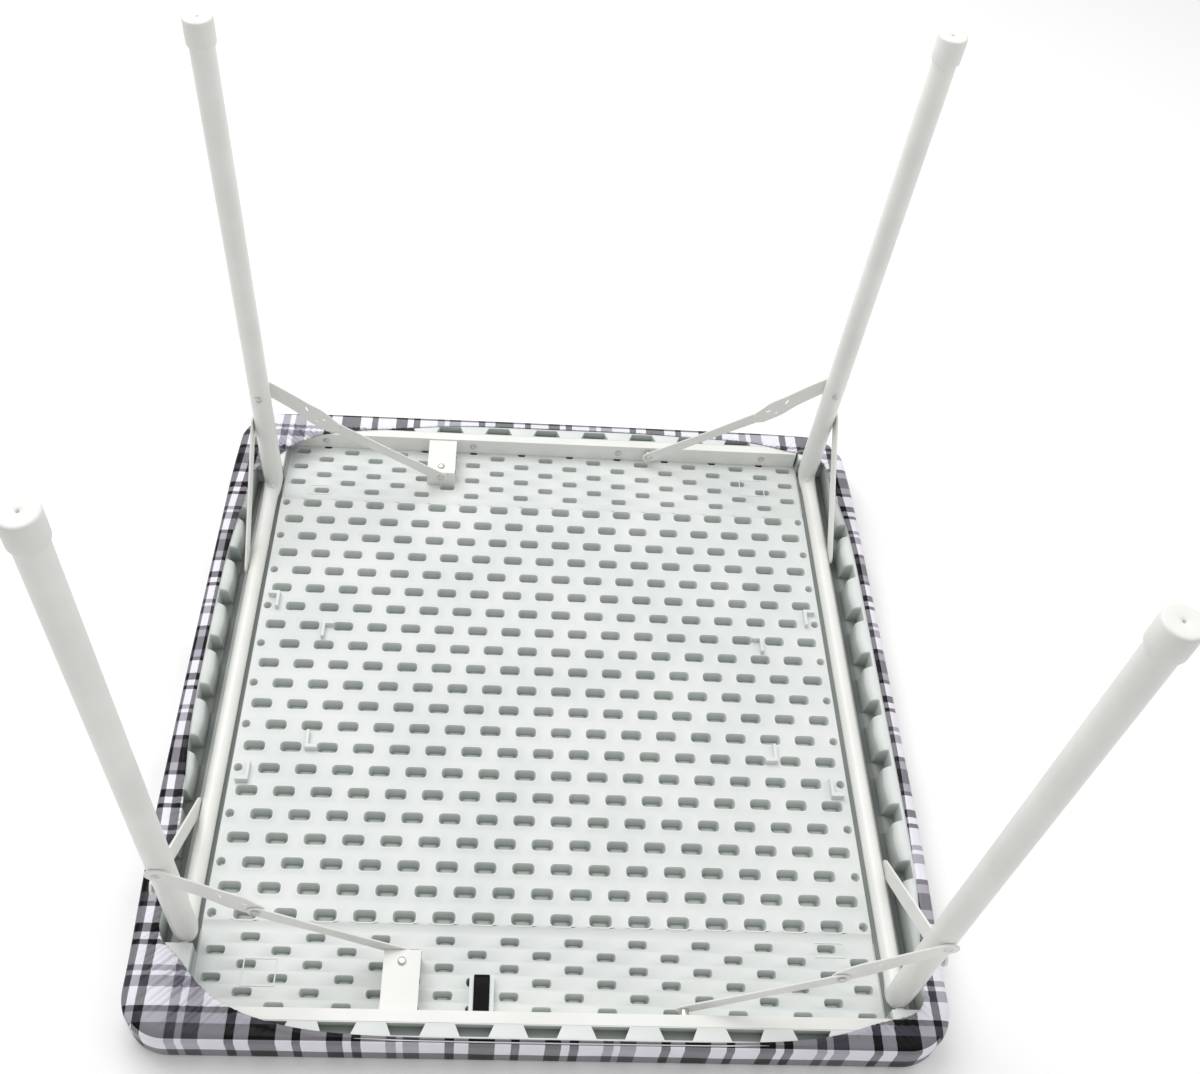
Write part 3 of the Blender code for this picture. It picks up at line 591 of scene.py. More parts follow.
def build_panel():
    """The field of dimples, the strips beside it and the ports along the rails."""
    shape, ports = Shape(), Shape()
    main_z = PANEL_Z + MAIN_RAISE
    for row in range(-DIMPLE_ROWS, DIMPLE_ROWS + 1):
        y = row * DIMPLE_ROW
        y0, y1 = max(y - DIMPLE_ROW / 2, -STEP_Y), min(y + DIMPLE_ROW / 2, STEP_Y)
        odd = row % 2
        for k in range(-DIMPLE_COLUMNS, DIMPLE_COLUMNS + odd):
            x = k * DIMPLE_PITCH if odd else (k + 0.5) * DIMPLE_PITCH
            box = (x - DIMPLE_PITCH / 2, x + DIMPLE_PITCH / 2, y0, y1)
            dimple(shape, box, main_z, (x, y), DIMPLE_HALF)
        if odd:
            continue
        for sx in (-1, 1):
            xs = sorted((sx * DIMPLE_COLUMNS * DIMPLE_PITCH, sx * PANEL_END_X))
            dimple(shape, (*xs, y0, y1), main_z, (sx * END_DIMPLE_X, y), END_DIMPLE_HALF,
                   END_DIMPLE_DEPTH, ACROSS // 2)
    for sy in (-1, 1):
        edge = [(STEP_Y, main_z), (STEP_Y + 0.0012, main_z - 0.0002),
                (STEP_Y + 0.0024, PANEL_Z + 0.0001), (STRIP_Y, PANEL_Z)]
        xs = np.linspace(-PANEL_END_X, PANEL_END_X, 137)
        shape.loft([[(x * sy, sy * y, z) for x in xs] for y, z in edge], closed=False)
        for row in range(STRIP_ROWS):
            low = STRIP_Y + row * STRIP_ROW
            high = PORT_Y if row == STRIP_ROWS - 1 else low + STRIP_ROW
            add_strip_row(shape, sy, STRIP_Y + (row + 0.5) * STRIP_ROW, low, high,
                          0.5 if row % 2 == 0 else 0.0)
        add_port_row(ports, sy)
        for sx in (-1, 1):
            corners = [(PANEL_END_X, STRIP_Y), (PANEL_HALF_X, STRIP_Y),
                       (PANEL_HALF_X, RAIL_OUTER_Y), (PANEL_END_X, RAIL_OUTER_Y)]
            shape.add([(sx * x, sy * y, PANEL_Z) for x, y in corners],
                      [(0, 1, 2, 3) if sx * sy > 0 else (3, 2, 1, 0)])
    top_piece("rail_ports", ports, PORT_PLASTIC, weld=PANEL_WELD)
    build_panel_edges()
    top_piece("dimpled_panel", shape, PANEL_PLASTIC, angle=50, weld=PANEL_WELD)


def strip_box(sy, x, low, high):
    """A cell of the side strips about x, cut off at the panel's ends."""
    half = STRIP_PITCH / 2
    return (max(x - half, -PANEL_END_X), min(x + half, PANEL_END_X),
            *sorted((sy * low, sy * high)))


def add_strip_row(shape, sy, y, low, high, shift):
    """A row of smaller dimples beside the middle field."""
    for k in range(-6, 7):
        x = (k + shift) * STRIP_PITCH
        if abs(x) - STRIP_PITCH / 2 >= PANEL_END_X:
            continue
        holds = abs(x) + 0.014 < PANEL_END_X
        dimple(shape, strip_box(sy, x, low, high), PANEL_Z, (x, sy * y),
               STRIP_HALF if holds else None, STRIP_DEPTH, lip=STRIP_LIP)


def add_port_row(shape, sy):
    """Half-hidden ports along the foot of a rail, made dark by painted shade in their material."""
    for k in range(-6, 6):
        x = (k + 0.5) * STRIP_PITCH
        dimple(shape, strip_box(sy, x, PORT_Y, RAIL_OUTER_Y), PANEL_Z, (x, sy * PORT_MIDDLE_Y),
               PORT_HALF if abs(x) < PORT_REACH_X else None, PORT_DEPTH, lip=PORT_LIP)


def build_panel_edges():
    """The panel's two long edges, which round over into the channels."""
    shape = Shape()
    ys = np.linspace(-RAIL_OUTER_Y, RAIL_OUTER_Y, 180)
    tops = [PANEL_Z + MAIN_RAISE * float(1 - smooth((abs(y) - STEP_Y) / 0.003)) for y in ys]
    foot = PANEL_END_X + PANEL_ROUND[-1][0]
    for sx in (-1, 1):
        rings = [[(sx * (PANEL_END_X + out), y, top - drop) for y, top in zip(ys, tops)]
                 for out, drop in PANEL_ROUND]
        rings.append([(sx * foot, y, CHANNEL_Z - 0.0002) for y in ys])
        if sx < 0:
            rings = [ring[::-1] for ring in rings]
        shape.loft(rings, closed=False)
    top_piece("panel_edges", shape, EDGE_PLASTIC)


SIDE_POCKETS = {"left": (-0.238, 0.0697), "right": (-0.232, 0.0702)}   # (first, pitch) along y
POCKET_STEPS = np.array(
    [-0.0118, -0.0112, -0.0100, -0.0094, -0.0060, 0.0, 0.0060, 0.0094, 0.0100, 0.0112, 0.0118])
WALL_UPRIGHT = 0.026          # height of the upright part of a channel's wall
WALL_OUT = 0.0158             # how far out the wall's top edge lies


def build_channel_wall(side):
    """The sloping scalloped wall outside one cross tube, with deep pockets moulded into it."""
    sx = SIDE[side]
    reach = LEG_Y[side] + LEG_RADIUS + 0.003
    first, pitch = SIDE_POCKETS[side]
    centres = [first + pitch * k for k in range(8)]
    centres = [c for c in centres if abs(c) < reach - 0.04]
    ys = np.unique(np.concatenate(
        [np.linspace(-reach, reach, 150)] + [c + POCKET_STEPS for c in centres]))
    floor = CHANNEL_Z + 0.0002
    outline = [(0.0002 + 0.0012 * level / WALL_UPRIGHT, level)
               for level in (0.0, 0.0012, 0.0020, 0.0028, 0.007, 0.013, 0.020, WALL_UPRIGHT)]
    for a in range(9, 91, 9):
        turn = math.radians(a)
        outline.append((WALL_OUT - 0.0144 * math.cos(turn), WALL_UPRIGHT + 0.0100 * math.sin(turn)))
    rings = [[(sx * (CHANNEL_OUTER_X - 0.006), y, floor) for y in ys]]
    for out, level in outline:
        ring = []
        for y in ys:
            nearest = min(abs(y - c) for c in centres)
            rib = min(nearest, STRIP_PITCH / 2) / (STRIP_PITCH / 2)
            fullness = 0.5 - 0.5 * math.cos(math.pi * min(max((rib - 0.3) / 0.7, 0.0), 1.0))
            x = out + 0.0022 * (1 - fullness) * float(smooth(level / 0.010)) * (out < 0.0135)
            inside = float(smooth((0.0116 - nearest) / 0.0020) * smooth((level - 0.0010) / 0.0015))
            x += inside * max(0.0140 - x, 0.0)
            ring.append((sx * (CHANNEL_OUTER_X + x), y, floor + level))
        rings.append(ring)
    edge = CHANNEL_OUTER_X + WALL_OUT
    rings.append([(sx * (edge + 0.0006), y, RIM_Z - 0.00015) for y in ys])
    rings.append([(sx * (edge + 0.0040), y, RIM_Z - 0.0001) for y in ys])
    if sx < 0:
        rings = [ring[::-1] for ring in rings]
    top_piece(f"{side}_channel_wall", Shape(rings, closed=False), CHANNEL_PLASTIC, angle=60)


def box_faces(low, high):
    """The points and faces of a box between two corners."""
    (x0, y0, z0), (x1, y1, z1) = low, high
    points = [(x0, y0, z0), (x1, y0, z0), (x1, y1, z0), (x0, y1, z0),
              (x0, y0, z1), (x1, y0, z1), (x1, y1, z1), (x0, y1, z1)]
    faces = [(3, 2, 1, 0), (4, 5, 6, 7), (0, 1, 5, 4), (1, 2, 6, 5), (2, 3, 7, 6), (3, 0, 4, 7)]
    return points, faces


def build_moulded_top():
    """The tabletop's own solid, cleared out where the dimpled panel and channel walls stand, with
    the row of pockets beside each rail."""
    panel_x, panel_y = PANEL_END_X + 0.0010, RAIL_OUTER_Y + 0.0001
    tool = Shape()
    tool.add(*box_faces((-panel_x, -panel_y, CHANNEL_Z - 0.0045),
                        (panel_x, panel_y, RIM_Z + OVERCUT)))
    cutters = [tool]
    for side, sx in SIDE.items():
        reach = LEG_Y[side] + LEG_RADIUS + 0.0029
        xs = sorted((sx * (CHANNEL_OUTER_X - 0.004), sx * (CHANNEL_OUTER_X + 0.0190)))
        tool = Shape()
        tool.add(*box_faces((xs[0], -reach, CHANNEL_Z), (xs[1], reach, RIM_Z + OVERCUT)))
        cutters.append(tool)
    tool = Shape()
    near, far = RAIL_OUTER_Y + 0.0012, RAIL_OUTER_Y + 0.0135
    wide, narrow = 0.0200, 0.0145
    for sy in (-1, 1):
        for k in range(-4, 5):
            x = k * STRIP_PITCH
            ring = [(x - wide, sy * near), (x + wide, sy * near), (x + narrow, sy * far),
                    (x - narrow, sy * far)]
            if sy < 0:
                ring.reverse()
            tool.loft([[(*point, z) for point in ring] for z in (RIM_Z - 0.013, RIM_Z + OVERCUT)],
                      True, True, True)
    cutters.append(tool)
    source = frame["nodes"]["tabletop"]
    mesh = evaluated_mesh(source)
    mesh.materials.clear()
    mesh.transform(source.matrix_world)
    holder = bpy.data.objects.new("moulded_top", mesh)
    VISUALS.objects.link(holder)
    tools = []
    for i, shape in enumerate(cutters):
        obj = bpy.data.objects.new(f"top_cutter_{i}", shape.mesh(f"top_cutter_{i}"))
        VISUALS.objects.link(obj)
        tools.append(obj)
        boolean = holder.modifiers.new("cut", "BOOLEAN")
        boolean.operation = "DIFFERENCE"
        boolean.solver = "EXACT"
        boolean.object = obj
    soften(holder, 0.0009, 50)
    made = evaluated_mesh(holder)
    for obj in [holder, *tools]:
        bpy.data.objects.remove(obj, do_unlink=True)
    top_piece("moulded_top", made, RIM_PLASTIC, replaces=("tabletop",))


def build_clips():
    """Small moulded hooks that stand on the panel."""
    base = PANEL_Z + MAIN_RAISE - 0.0004
    foot = [(-0.0020, -0.0130), (0.0020, -0.0130), (0.0020, 0.0060), (0.0130, 0.0060),
            (0.0130, 0.0110), (-0.0020, 0.0110)]
    for side, sx in SIDE.items():
        for end, sy in END.items():
            for tag, x, y, turn in (("outer", 0.348, 0.124, 1), ("inner", 0.284, 0.080, -1)):
                outline = [(px * sx * turn, py * sy) for px, py in foot]
                if sx * turn * sy < 0:
                    outline.reverse()
                top_piece(f"clip_{tag}_{side}_{end}", plate([outline], 0.0085, 0.0007),
                          place=Matrix.Translation((sx * x, sy * y, base + 0.0040)))


def rectangle(half_x, half_y):
    return [(-half_x, -half_y), (half_x, -half_y), (half_x, half_y), (-half_x, half_y)]


def build_ribs():
    """Thin raised squares moulded near the corners of the panel."""
    line = 0.0014             # width of a rib
    for name, x, y, half_x, half_y in (
            ("left_near", -0.300, -0.352, 0.018, 0.0150),
            ("right_near", 0.318, -0.3160, 0.017, 0.0085),
            ("left_far", -0.318, 0.3160, 0.017, 0.0085),
            ("right_far", 0.300, 0.352, 0.018, 0.0150)):
        inner = rectangle(half_x - line, half_y - line)
        inner = [inner[0], *inner[:0:-1]]
        top_piece(f"rib_square_{name}", plate([rectangle(half_x, half_y), inner], 0.0016, 0.0003),
                  place=Matrix.Translation((x, y, PANEL_Z)))


def soften(obj, width, angle=40):
    """Rounds the edges that turn by more than the angle, in degrees."""
    bevel = obj.modifiers.new("edges", "BEVEL")
    bevel.width = width
    bevel.segments = 2
    bevel.limit_method = "ANGLE"
    bevel.angle_limit = math.radians(angle)


# Tablecloth

HEM_POWER = {"left": 4.8, "right": 6.2}
CORNER_RADIUS = 0.060
CLOTH_CORNER = 0.050
LEG_ROOM = 0.0235            # from a right leg's axis to the hem that passes outside it
HEM_REACH = {"left": 0.4215, "right": 0.4240, "near": 0.4250, "far": 0.4250}
BILLOW = 0.0070              # how far the loose skirt stands out from the rim
HEM_MARGIN = 0.0055          # least depth of the turned-in band
CORD_RADIUS = 0.0006
CLOTH_COLUMNS = 2600
LOW_FOLD, HIGH_FOLD = 0.0075, 0.006
CLOTH_MIDDLE = CLOTH_THICKNESS / 2
CLOTH_TOP = RIM_Z + 0.0009
SECTIONS = (                 # what a column of the cloth passes, from the floor to the hem
    [("bottom", share) for share in (0.30, 0.62, 0.86, 0.96)]
    + [("low", angle) for angle in (0, 22, 45, 67, 90)]
    + [("side", share) for share in (0.14, 0.30, 0.48, 0.66, 0.82)]
    + [("high", angle) for angle in (0, 30, 60, 90)]
    + [("band", share) for share in (0.05, 0.12, 0.20, 0.28, 0.36, 0.44, 0.52, 0.60, 0.68, 0.76,
                                     0.84, 0.90, 0.945, 0.975, 1.0)]
    + [("tuck", 0.5), ("tuck", 1.0)])
PLAID_EDGE = 0.4335          # where the pattern turns down over a side
PLAID_SHIFT = 0.0100         # how far the pull of the skirt draws the pattern outwards
# How the pattern runs down the near side: heights below the rim, and places in the pattern
NEAR_FALL = [0, 0.024, 0.026, 0.045, 0.050]
NEAR_PLAID = [0.0790, 0.0622, 0.0612, 0.0556, 0.0540]


def dip(value, centre, width, amount):
    """A smooth dent in the hem, centred on one value."""
    return amount * math.exp(-(((value - centre) / width) ** 2))


def hem_scale(direction):
    """How far along a unit direction from the middle the hem lies."""
    ux, uy = direction
    a = HEM_REACH["left" if ux < 0 else "right"]
    b = HEM_REACH["near" if uy < 0 else "far"]
    power = HEM_POWER["left" if ux < 0 else "right"]
    reach = 1 / ((abs(ux) / a) ** power + (abs(uy) / b) ** power) ** (1 / power)
    x, y = ux * reach, uy * reach
    if x < -0.36:
        reach -= dip(y, -0.205, 0.095, 0.0125)
    if y > 0.33:
        reach -= dip(x, -0.240, 0.085, 0.0095) + dip(x, 0.225, 0.060, 0.0035)
    for side, sx in SIDE.items():
        if ux * sx < 0:
            continue
        leg = Vector((abs(PIVOT[side].x) + 0.002, LEG_Y[side]))
        away = leg.x * abs(uy) - leg.y * abs(ux)
        along = leg.x * abs(ux) + leg.y * abs(uy)
        if abs(away) < 0.12:
            spread = math.exp(-(away / 0.030) ** 2)
            reach = max(reach, reach + (along + LEG_ROOM - reach) * spread)
    return reach


def billow(direction, reach):
    """How far the skirt's top fold stands out beyond the table, which is least near the viewer."""
    x, y = direction[0] * reach, direction[1] * reach
    free = float(smooth((y + 0.40) / 0.22))
    corner = float(smooth((abs(abs(x) - abs(y)) - 0.010) / 0.120))
    return BILLOW * free * (0.45 + 0.55 * corner)


def edge_scale(direction, half, radius):
    """Distance from the middle to a rounded square along a unit direction."""
    ux, uy = abs(direction[0]), abs(direction[1])
    straight = half / max(ux, uy)
    px, py = ux * straight, uy * straight
    if min(px, py) <= half - radius:
        return straight
    c = half - radius
    b = (ux + uy) * c
    return b + math.sqrt(max(b * b - 2 * c * c + radius * radius, 0.0))


def cloth_directions(count):
    """Unit directions round the table, evenly spaced along its square edge."""
    found = []
    for i in range(count):
        t = 8 * i / count
        face, along = int(t // 2), t % 2 - 1
        x, y = [(along, -1), (1, along), (-along, 1), (-1, -along)][face]
        size = math.hypot(x, y)
        found.append((x / size, y / size))
    return found


def wave(s, length, phase):
    return math.sin(s * 2 * math.pi / length + phase)


def cloth_column(direction, s, phase):
    """The cloth's points along one direction, at a distance s round the table's edge."""
    edge = edge_scale(direction, HALF - CLOTH_MIDDLE - 0.0001, CLOTH_CORNER)
    hem = min(hem_scale(direction), edge - HEM_MARGIN)
    stand_out = billow(direction, edge)
    fold = edge + stand_out
    depth = fold - hem
    corner = min(max((depth - 0.020) / 0.050, 0.0), 1.0)
    ripple = (wave(s, 0.0083, phase[0] + 1.3 * math.sin(s * 31 + phase[1]))
              + 0.60 * wave(s, 0.0137, phase[2] + math.sin(s * 23))
              + 0.40 * wave(s, 0.0056, phase[3]))
    wander = wave(s, 0.21, phase[4]) + 0.6 * wave(s, 0.083, phase[5])
    column = []
    for kind, value in SECTIONS:
        if kind == "bottom":
            d, z = edge * value - 0.008 * (value > 0.9), CLOTH_MIDDLE
        elif kind == "low":
            a = math.radians(value)
            d = edge - LOW_FOLD * (1 - math.sin(a))
            z = CLOTH_MIDDLE + LOW_FOLD * (1 - math.cos(a))
        elif kind == "side":
            bow = 0.00024 * wander * math.sin(math.pi * value)
            d = edge + bow - 0.0003 + stand_out * float(smooth(value * 1.08)) ** 1.2
            rise = CLOTH_TOP - HIGH_FOLD - CLOTH_MIDDLE - LOW_FOLD
            z = CLOTH_MIDDLE + LOW_FOLD + rise * value
        elif kind == "high":
            a = math.radians(value)
            d = fold - HIGH_FOLD * (1 - math.cos(a))
            z = CLOTH_TOP - HIGH_FOLD * (1 - math.sin(a))
        elif kind == "band":
            inner = (1 - value) * (depth - HIGH_FOLD)
            d = fold - HIGH_FOLD - (depth - HIGH_FOLD) * value
            lift = (0.0004 + 0.0014 * corner) * ripple * value ** 1.2 * min(1.0, depth / 0.03)
            slack = 0.0010 * corner * (1 + 0.5 * wander) * math.sin(math.pi * value)
            swell = 0.0011 * math.exp(-((inner - 0.004) / 0.0030) ** 2)
            z = CLOTH_TOP + 0.0002 + max(lift, -0.0012 * corner - 0.0003)
            z += slack + swell + 0.0010 * corner
        else:
            d = hem - 0.0004 + 0.0044 * value
            z = CLOTH_TOP - 0.0005 - 0.0003 * value
        column.append((direction[0] * d, direction[1] * d, z))
    return column


def lay_plaid(mesh):
    """Writes the cloth's flat coordinates, in metres, into its UV map."""
    uv = mesh.uv_layers.new(name="flat")
    rows = len(SECTIONS)
    kinds = [kind for kind, _ in SECTIONS]
    first_side, last_side = kinds.index("side") - 2, kinds.index("band") - 2
    fold_side = kinds.index("high")
    for polygon in mesh.polygons:
        row = min(v % rows for v in polygon.vertices) if len(polygon.vertices) == 4 else 0
        centre = polygon.center
        sideways = abs(centre.x) > abs(centre.y)
        near_face = not sideways and centre.y < 0
        on_side = first_side <= row < (last_side if near_face else fold_side)
        for loop, vertex in zip(polygon.loop_indices, polygon.vertices):
            x, y, z = mesh.vertices[vertex].co
            bowed = float(smooth((y + 0.33) / 0.26) * smooth((0.40 - y) / 0.20)
                          * smooth((abs(x) - 0.37) / 0.05))
            x -= math.copysign(PLAID_SHIFT * bowed, x)
            if on_side:
                fall = RIM_Z - z
                if sideways:
                    x = math.copysign(PLAID_EDGE - PLAID_SHIFT * bowed + fall, x)
                elif centre.y > 0:
                    y = PLAID_EDGE + fall
                else:
                    y = float(np.interp(fall, NEAR_FALL, NEAR_PLAID))
            uv.data[loop].uv = (x, y)


def thicken(obj, thickness):
    solid = obj.modifiers.new("thickness", "SOLIDIFY")
    solid.thickness = thickness
    solid.offset = 0.0


def build_cloth():
    """The fitted cloth as one sheet: under the top, up its sides and in over the rim."""
    directions = cloth_directions(CLOTH_COLUMNS)
    phase = RNG.uniform(0, 2 * math.pi, 6)
    points, run, previous = [], 0.0, None
    for direction in directions:
        edge = edge_scale(direction, HALF - CLOTH_MIDDLE - 0.0001, CLOTH_CORNER)
        here = (direction[0] * edge, direction[1] * edge)
        run += math.dist(here, previous or here)
        previous = here
        points += cloth_column(direction, run, phase)
    rows = len(SECTIONS)
    faces = []
    for i in range(CLOTH_COLUMNS):
        here, after = i * rows, (i + 1) % CLOTH_COLUMNS * rows
        faces += [(here + r, after + r, after + r + 1, here + r + 1) for r in range(rows - 1)]
    faces.append(tuple(i * rows for i in reversed(range(CLOTH_COLUMNS))))
    shape = Shape()
    shape.add(points, faces)
    mesh = shape.mesh("plaid_cover")
    lay_plaid(mesh)
    obj = piece("plaid_cover", mesh, PLAID, "clothed_top", "plaid_vinyl",
                replaces=("tablecloth",), angle=180)
    thicken(obj, CLOTH_THICKNESS)


def build_hem_cord():
    """The elastic inside the hem, seen as a cord along the underside of its edge."""
    path = []
    for ux, uy in cloth_directions(420):
        edge = edge_scale((ux, uy), HALF, CORNER_RADIUS)
        d = min(hem_scale((ux, uy)), edge - HEM_MARGIN) + 0.0030
        path.append(Vector((ux * d, uy * d, RIM_Z + 0.00115)))
    up = Vector((0, 0, 1))
    rings = []
    for i, point in enumerate(path):
        side = (path[(i + 1) % len(path)] - path[i - 1]).normalized().cross(up)
        rings.append([point + CORD_RADIUS * (math.cos(a) * side + math.sin(a) * up)
                      for a in (k * math.pi / 4 for k in range(8))])
    rings.append(rings[0])
    piece("hem_cord", Shape(rings), ELASTIC, "clothed_top", "elastic",
          replaces=("hem_elastic",), weld=FINE_WELD)


# Leg frames


def frame_place(side, y=0.0):
    """From a leg frame's own upright axes at its pivot to the table."""
    return (Matrix.Translation(PIVOT[side]) @ Matrix.Rotation(SIDE[side] * LEG_SPLAY, 4, "Y")
            @ Matrix.Translation((0, y, 0)))


def leg_length(side):
    return (TOTAL_HEIGHT - PIVOT[side].z) / math.cos(LEG_SPLAY) - CAP_TOP


def build_leg(side, end):
    """A leg whose lower end necks down and bends in to the cross tube."""
    sx, sy = SIDE[side], END[end]
    length = leg_length(side)
    bend = 0.0165
    heights = [length - 0.0045, length * 0.5, 0.060, 0.040, 0.024, 0.012, bend - CROSS_DROP]
    path = [(0, 0, z) for z in heights]
    radii = [LEG_RADIUS * share for share in (1, 1, 1, 1, 0.99, 0.97, 0.94)]
    for step in range(1, 13):
        a = math.pi / 2 * step / 12
        share = step / 12
        path.append((sx * CROSS_OUT * share, -sy * bend * (1 - math.cos(a)),
                     bend - CROSS_DROP - bend * math.sin(a)))
        radii.append(LEG_RADIUS * (0.94 - 0.15 * share))
    for run, radius in ((0.006, 0.0105), (0.012, 0.01025), (0.020, 0.01012), (0.030, 0.0100)):
        path.append((sx * CROSS_OUT, -sy * (bend + run), -CROSS_DROP))
        radii.append(radius)
    frame_piece(f"{side}_{end}_leg_tube", swept(path, radii), side,
                replaces=(f"{side}_{end}_leg",), place=frame_place(side, sy * LEG_Y[side]))


def build_cross_tube(side):
    """The straight bar between the bends of a pair of legs."""
    reach = LEG_Y[side] - 0.040
    x = SIDE[side] * CROSS_OUT
    path = [(x, -reach + 2 * reach * i / 8, -CROSS_DROP) for i in range(9)]
    frame_piece(f"{side}_cross_bar", swept(path, [CROSS_RADIUS] * 9, 40), side,
                replaces=(f"{side}_cross_tube",), place=frame_place(side))


def build_foot(side, end):
    """A leg's plastic cap, with the small hole in its face."""
    top = leg_length(side) + CAP_TOP
    low = top - CAP_TOP - CAP_SKIRT
    r = CAP_RADIUS
    profile = [
        (LEG_RADIUS + 0.0002, low), (r - 0.0007, low), (r - 0.0002, low + 0.0003),
        (r, low + 0.0009), (r + 0.0001, low + 0.012), (r, top - 0.0026),
        (r - 0.0003, top - 0.0014), (r - 0.0010, top - 0.0006), (r - 0.0022, top - 0.0001),
        (r - 0.0034, top), (0.0045, top), (0.0040, top - 0.0002), (0.0019, top - 0.0004),
        (0.0014, top - 0.0009), (0.0012, top - 0.0080), (0.0, top - 0.0080),
    ]
    piece(f"{side}_{end}_foot_cover", turned(profile), CAP_PLASTIC, f"{side}_frame",
          "white_cap_plastic", replaces=(f"{side}_{end}_foot_cap",),
          place=frame_place(side, END[end] * LEG_Y[side]), angle=45, weld=FINE_WELD)


def stand(start, end, y):
    """From a plate's own XY, starting at its origin along +X, to the upright plane y, with the
    plate's +Y on the upper side."""
    along = Vector((end[0] - start[0], 0, end[1] - start[1])).normalized()
    facing = Vector((0, -1, 0))
    across = facing.cross(along)
    if across.z < 0:
        facing, across = -facing, -across
    turn = Matrix((along, across, facing)).transposed().to_4x4()
    return Matrix.Translation((start[0], y, start[1])) @ turn


def brace_points(side, end):
    """(leg pin, elbow, foot pin, upper plane, lower plane) of one brace, from the frame."""
    leg_pin = Vector(JOINTS[f"{side}_{end}_upper_brace_turn"]["pos_m"])
    foot = Vector(JOINTS[f"{side}_{end}_lower_brace_turn"]["pos_m"])
    low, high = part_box(f"{side}_{end}_elbow_rivet")
    elbow = ((low[0] + high[0]) / 2, (low[2] + high[2]) / 2)
    return (leg_pin.x, leg_pin.z), elbow, (foot.x, foot.z), leg_pin.y, foot.y


def slot_outline(x, y, half, radius, turn=0.0):
    """A round-ended slot about a point."""
    ring = arc((half, 0), radius, -90, 90, 6) + arc((-half, 0), radius, 90, 270, 6)
    c, s = math.cos(turn), math.sin(turn)
    return [(x + c * px - s * py, y + s * px + c * py) for px, py in ring]


def build_link(side, end, part, start, finish, y, radii, edges, steps, holes=()):
    """A brace plate from one pin to another. Edges gives its (lower, upper) edge at a share of
    its length, and radii its round ends at the far and the near pin."""
    length = math.dist(start, finish)
    shares = [i / steps for i in range(steps + 1)]
    lower = [(length * t, edges(t)[0]) for t in shares]
    upper = [(length * t, edges(t)[1]) for t in shares]
    outline = (lower + arc((length, 0), radii[0], -80, 80, 8) + upper[::-1]
               + arc((0, 0), radii[1], 100, 260, 10))
    mesh = plate([outline, *holes], LINK_SHEET, 0.0004)
    piece(f"{side}_{end}_{part}_plate", mesh, PAINT, f"{side}_{end}_{part}_brace",
          "white_painted_steel", replaces=(f"{side}_{end}_{part}_link",),
          place=stand(start, finish, y))


def build_disc(name, profile, at, facing, finish, body, slot):
    """A low disc turned from (radius, height) points, facing near or far from a plate."""
    turn = Vector((0, facing, 0)).to_track_quat("Z", "Y").to_matrix().to_4x4()
    piece(name, turned(profile[::-1], 28), finish, body, slot,
          place=Matrix.Translation(at) @ turn, weld=FINE_WELD)


def build_upper_link(side, end):
    """The broad brace plate with its slots, and the boss over its elbow."""
    pin, elbow, _, y, _ = brace_points(side, end)
    length = math.dist(pin, elbow)

    def edges(t):
        swell = math.exp(-((t - 0.76) / 0.15) ** 2)
        bow = math.sin(math.pi * t)
        return (-0.0108 + 0.0012 * bow ** 2 - 0.0026 * swell,
                0.0110 + 0.0028 * bow + 0.0030 * swell)

    holes = [slot_outline(length * 0.60, 0.0045, 0.0030, 0.0011, -0.5),
             slot_outline(length * 0.86, 0.0040, 0.0026, 0.0011, 0.25),
             arc((length * 0.80, -0.0052), 0.0014, 0, 330, 11)]
    build_link(side, end, "upper", pin, elbow, y, (0.0098, 0.0110), edges, 26, holes)
    profile = [(0.0, 0.00018), (0.0016, 0.00020), (0.0021, 0.00006), (0.0026, 0.00021),
               (0.0044, 0.00020), (0.0050, 0.0), (0.0050, -0.0004)]
    build_disc(f"{side}_{end}_elbow_boss", profile,
               (elbow[0], y - END[end] * LINK_SHEET / 2, elbow[1]), -END[end], PAINT,
               f"{side}_{end}_upper_brace", "white_painted_steel")


def build_rivet_face(side, end):
    """The flattened outer end of a leg's rivet, with its set ring."""
    pin, _, _, y, _ = brace_points(side, end)
    profile = [(0.0, 0.00016), (0.0014, 0.00018), (0.0019, 0.00005), (0.0024, 0.00020),
               (0.0042, 0.00022), (0.0050, 0.00012), (0.0053, 0.0), (0.0053, -0.0006)]
    build_disc(f"{side}_{end}_rivet_face", profile,
               (pin[0], y + END[end] * LINK_SHEET / 2, pin[1]), END[end], ZINC,
               f"{side}_frame", "zinc_steel")


def build_lower_link(side, end):
    """The narrow brace plate, a little waisted."""
    _, elbow, foot, _, y = brace_points(side, end)

    def edges(t):
        half = 0.0088 - 0.0014 * math.sin(math.pi * t) ** 2
        return -half, half

    build_link(side, end, "lower", foot, elbow, y, (0.0088, 0.0088), edges, 20)


# Strap


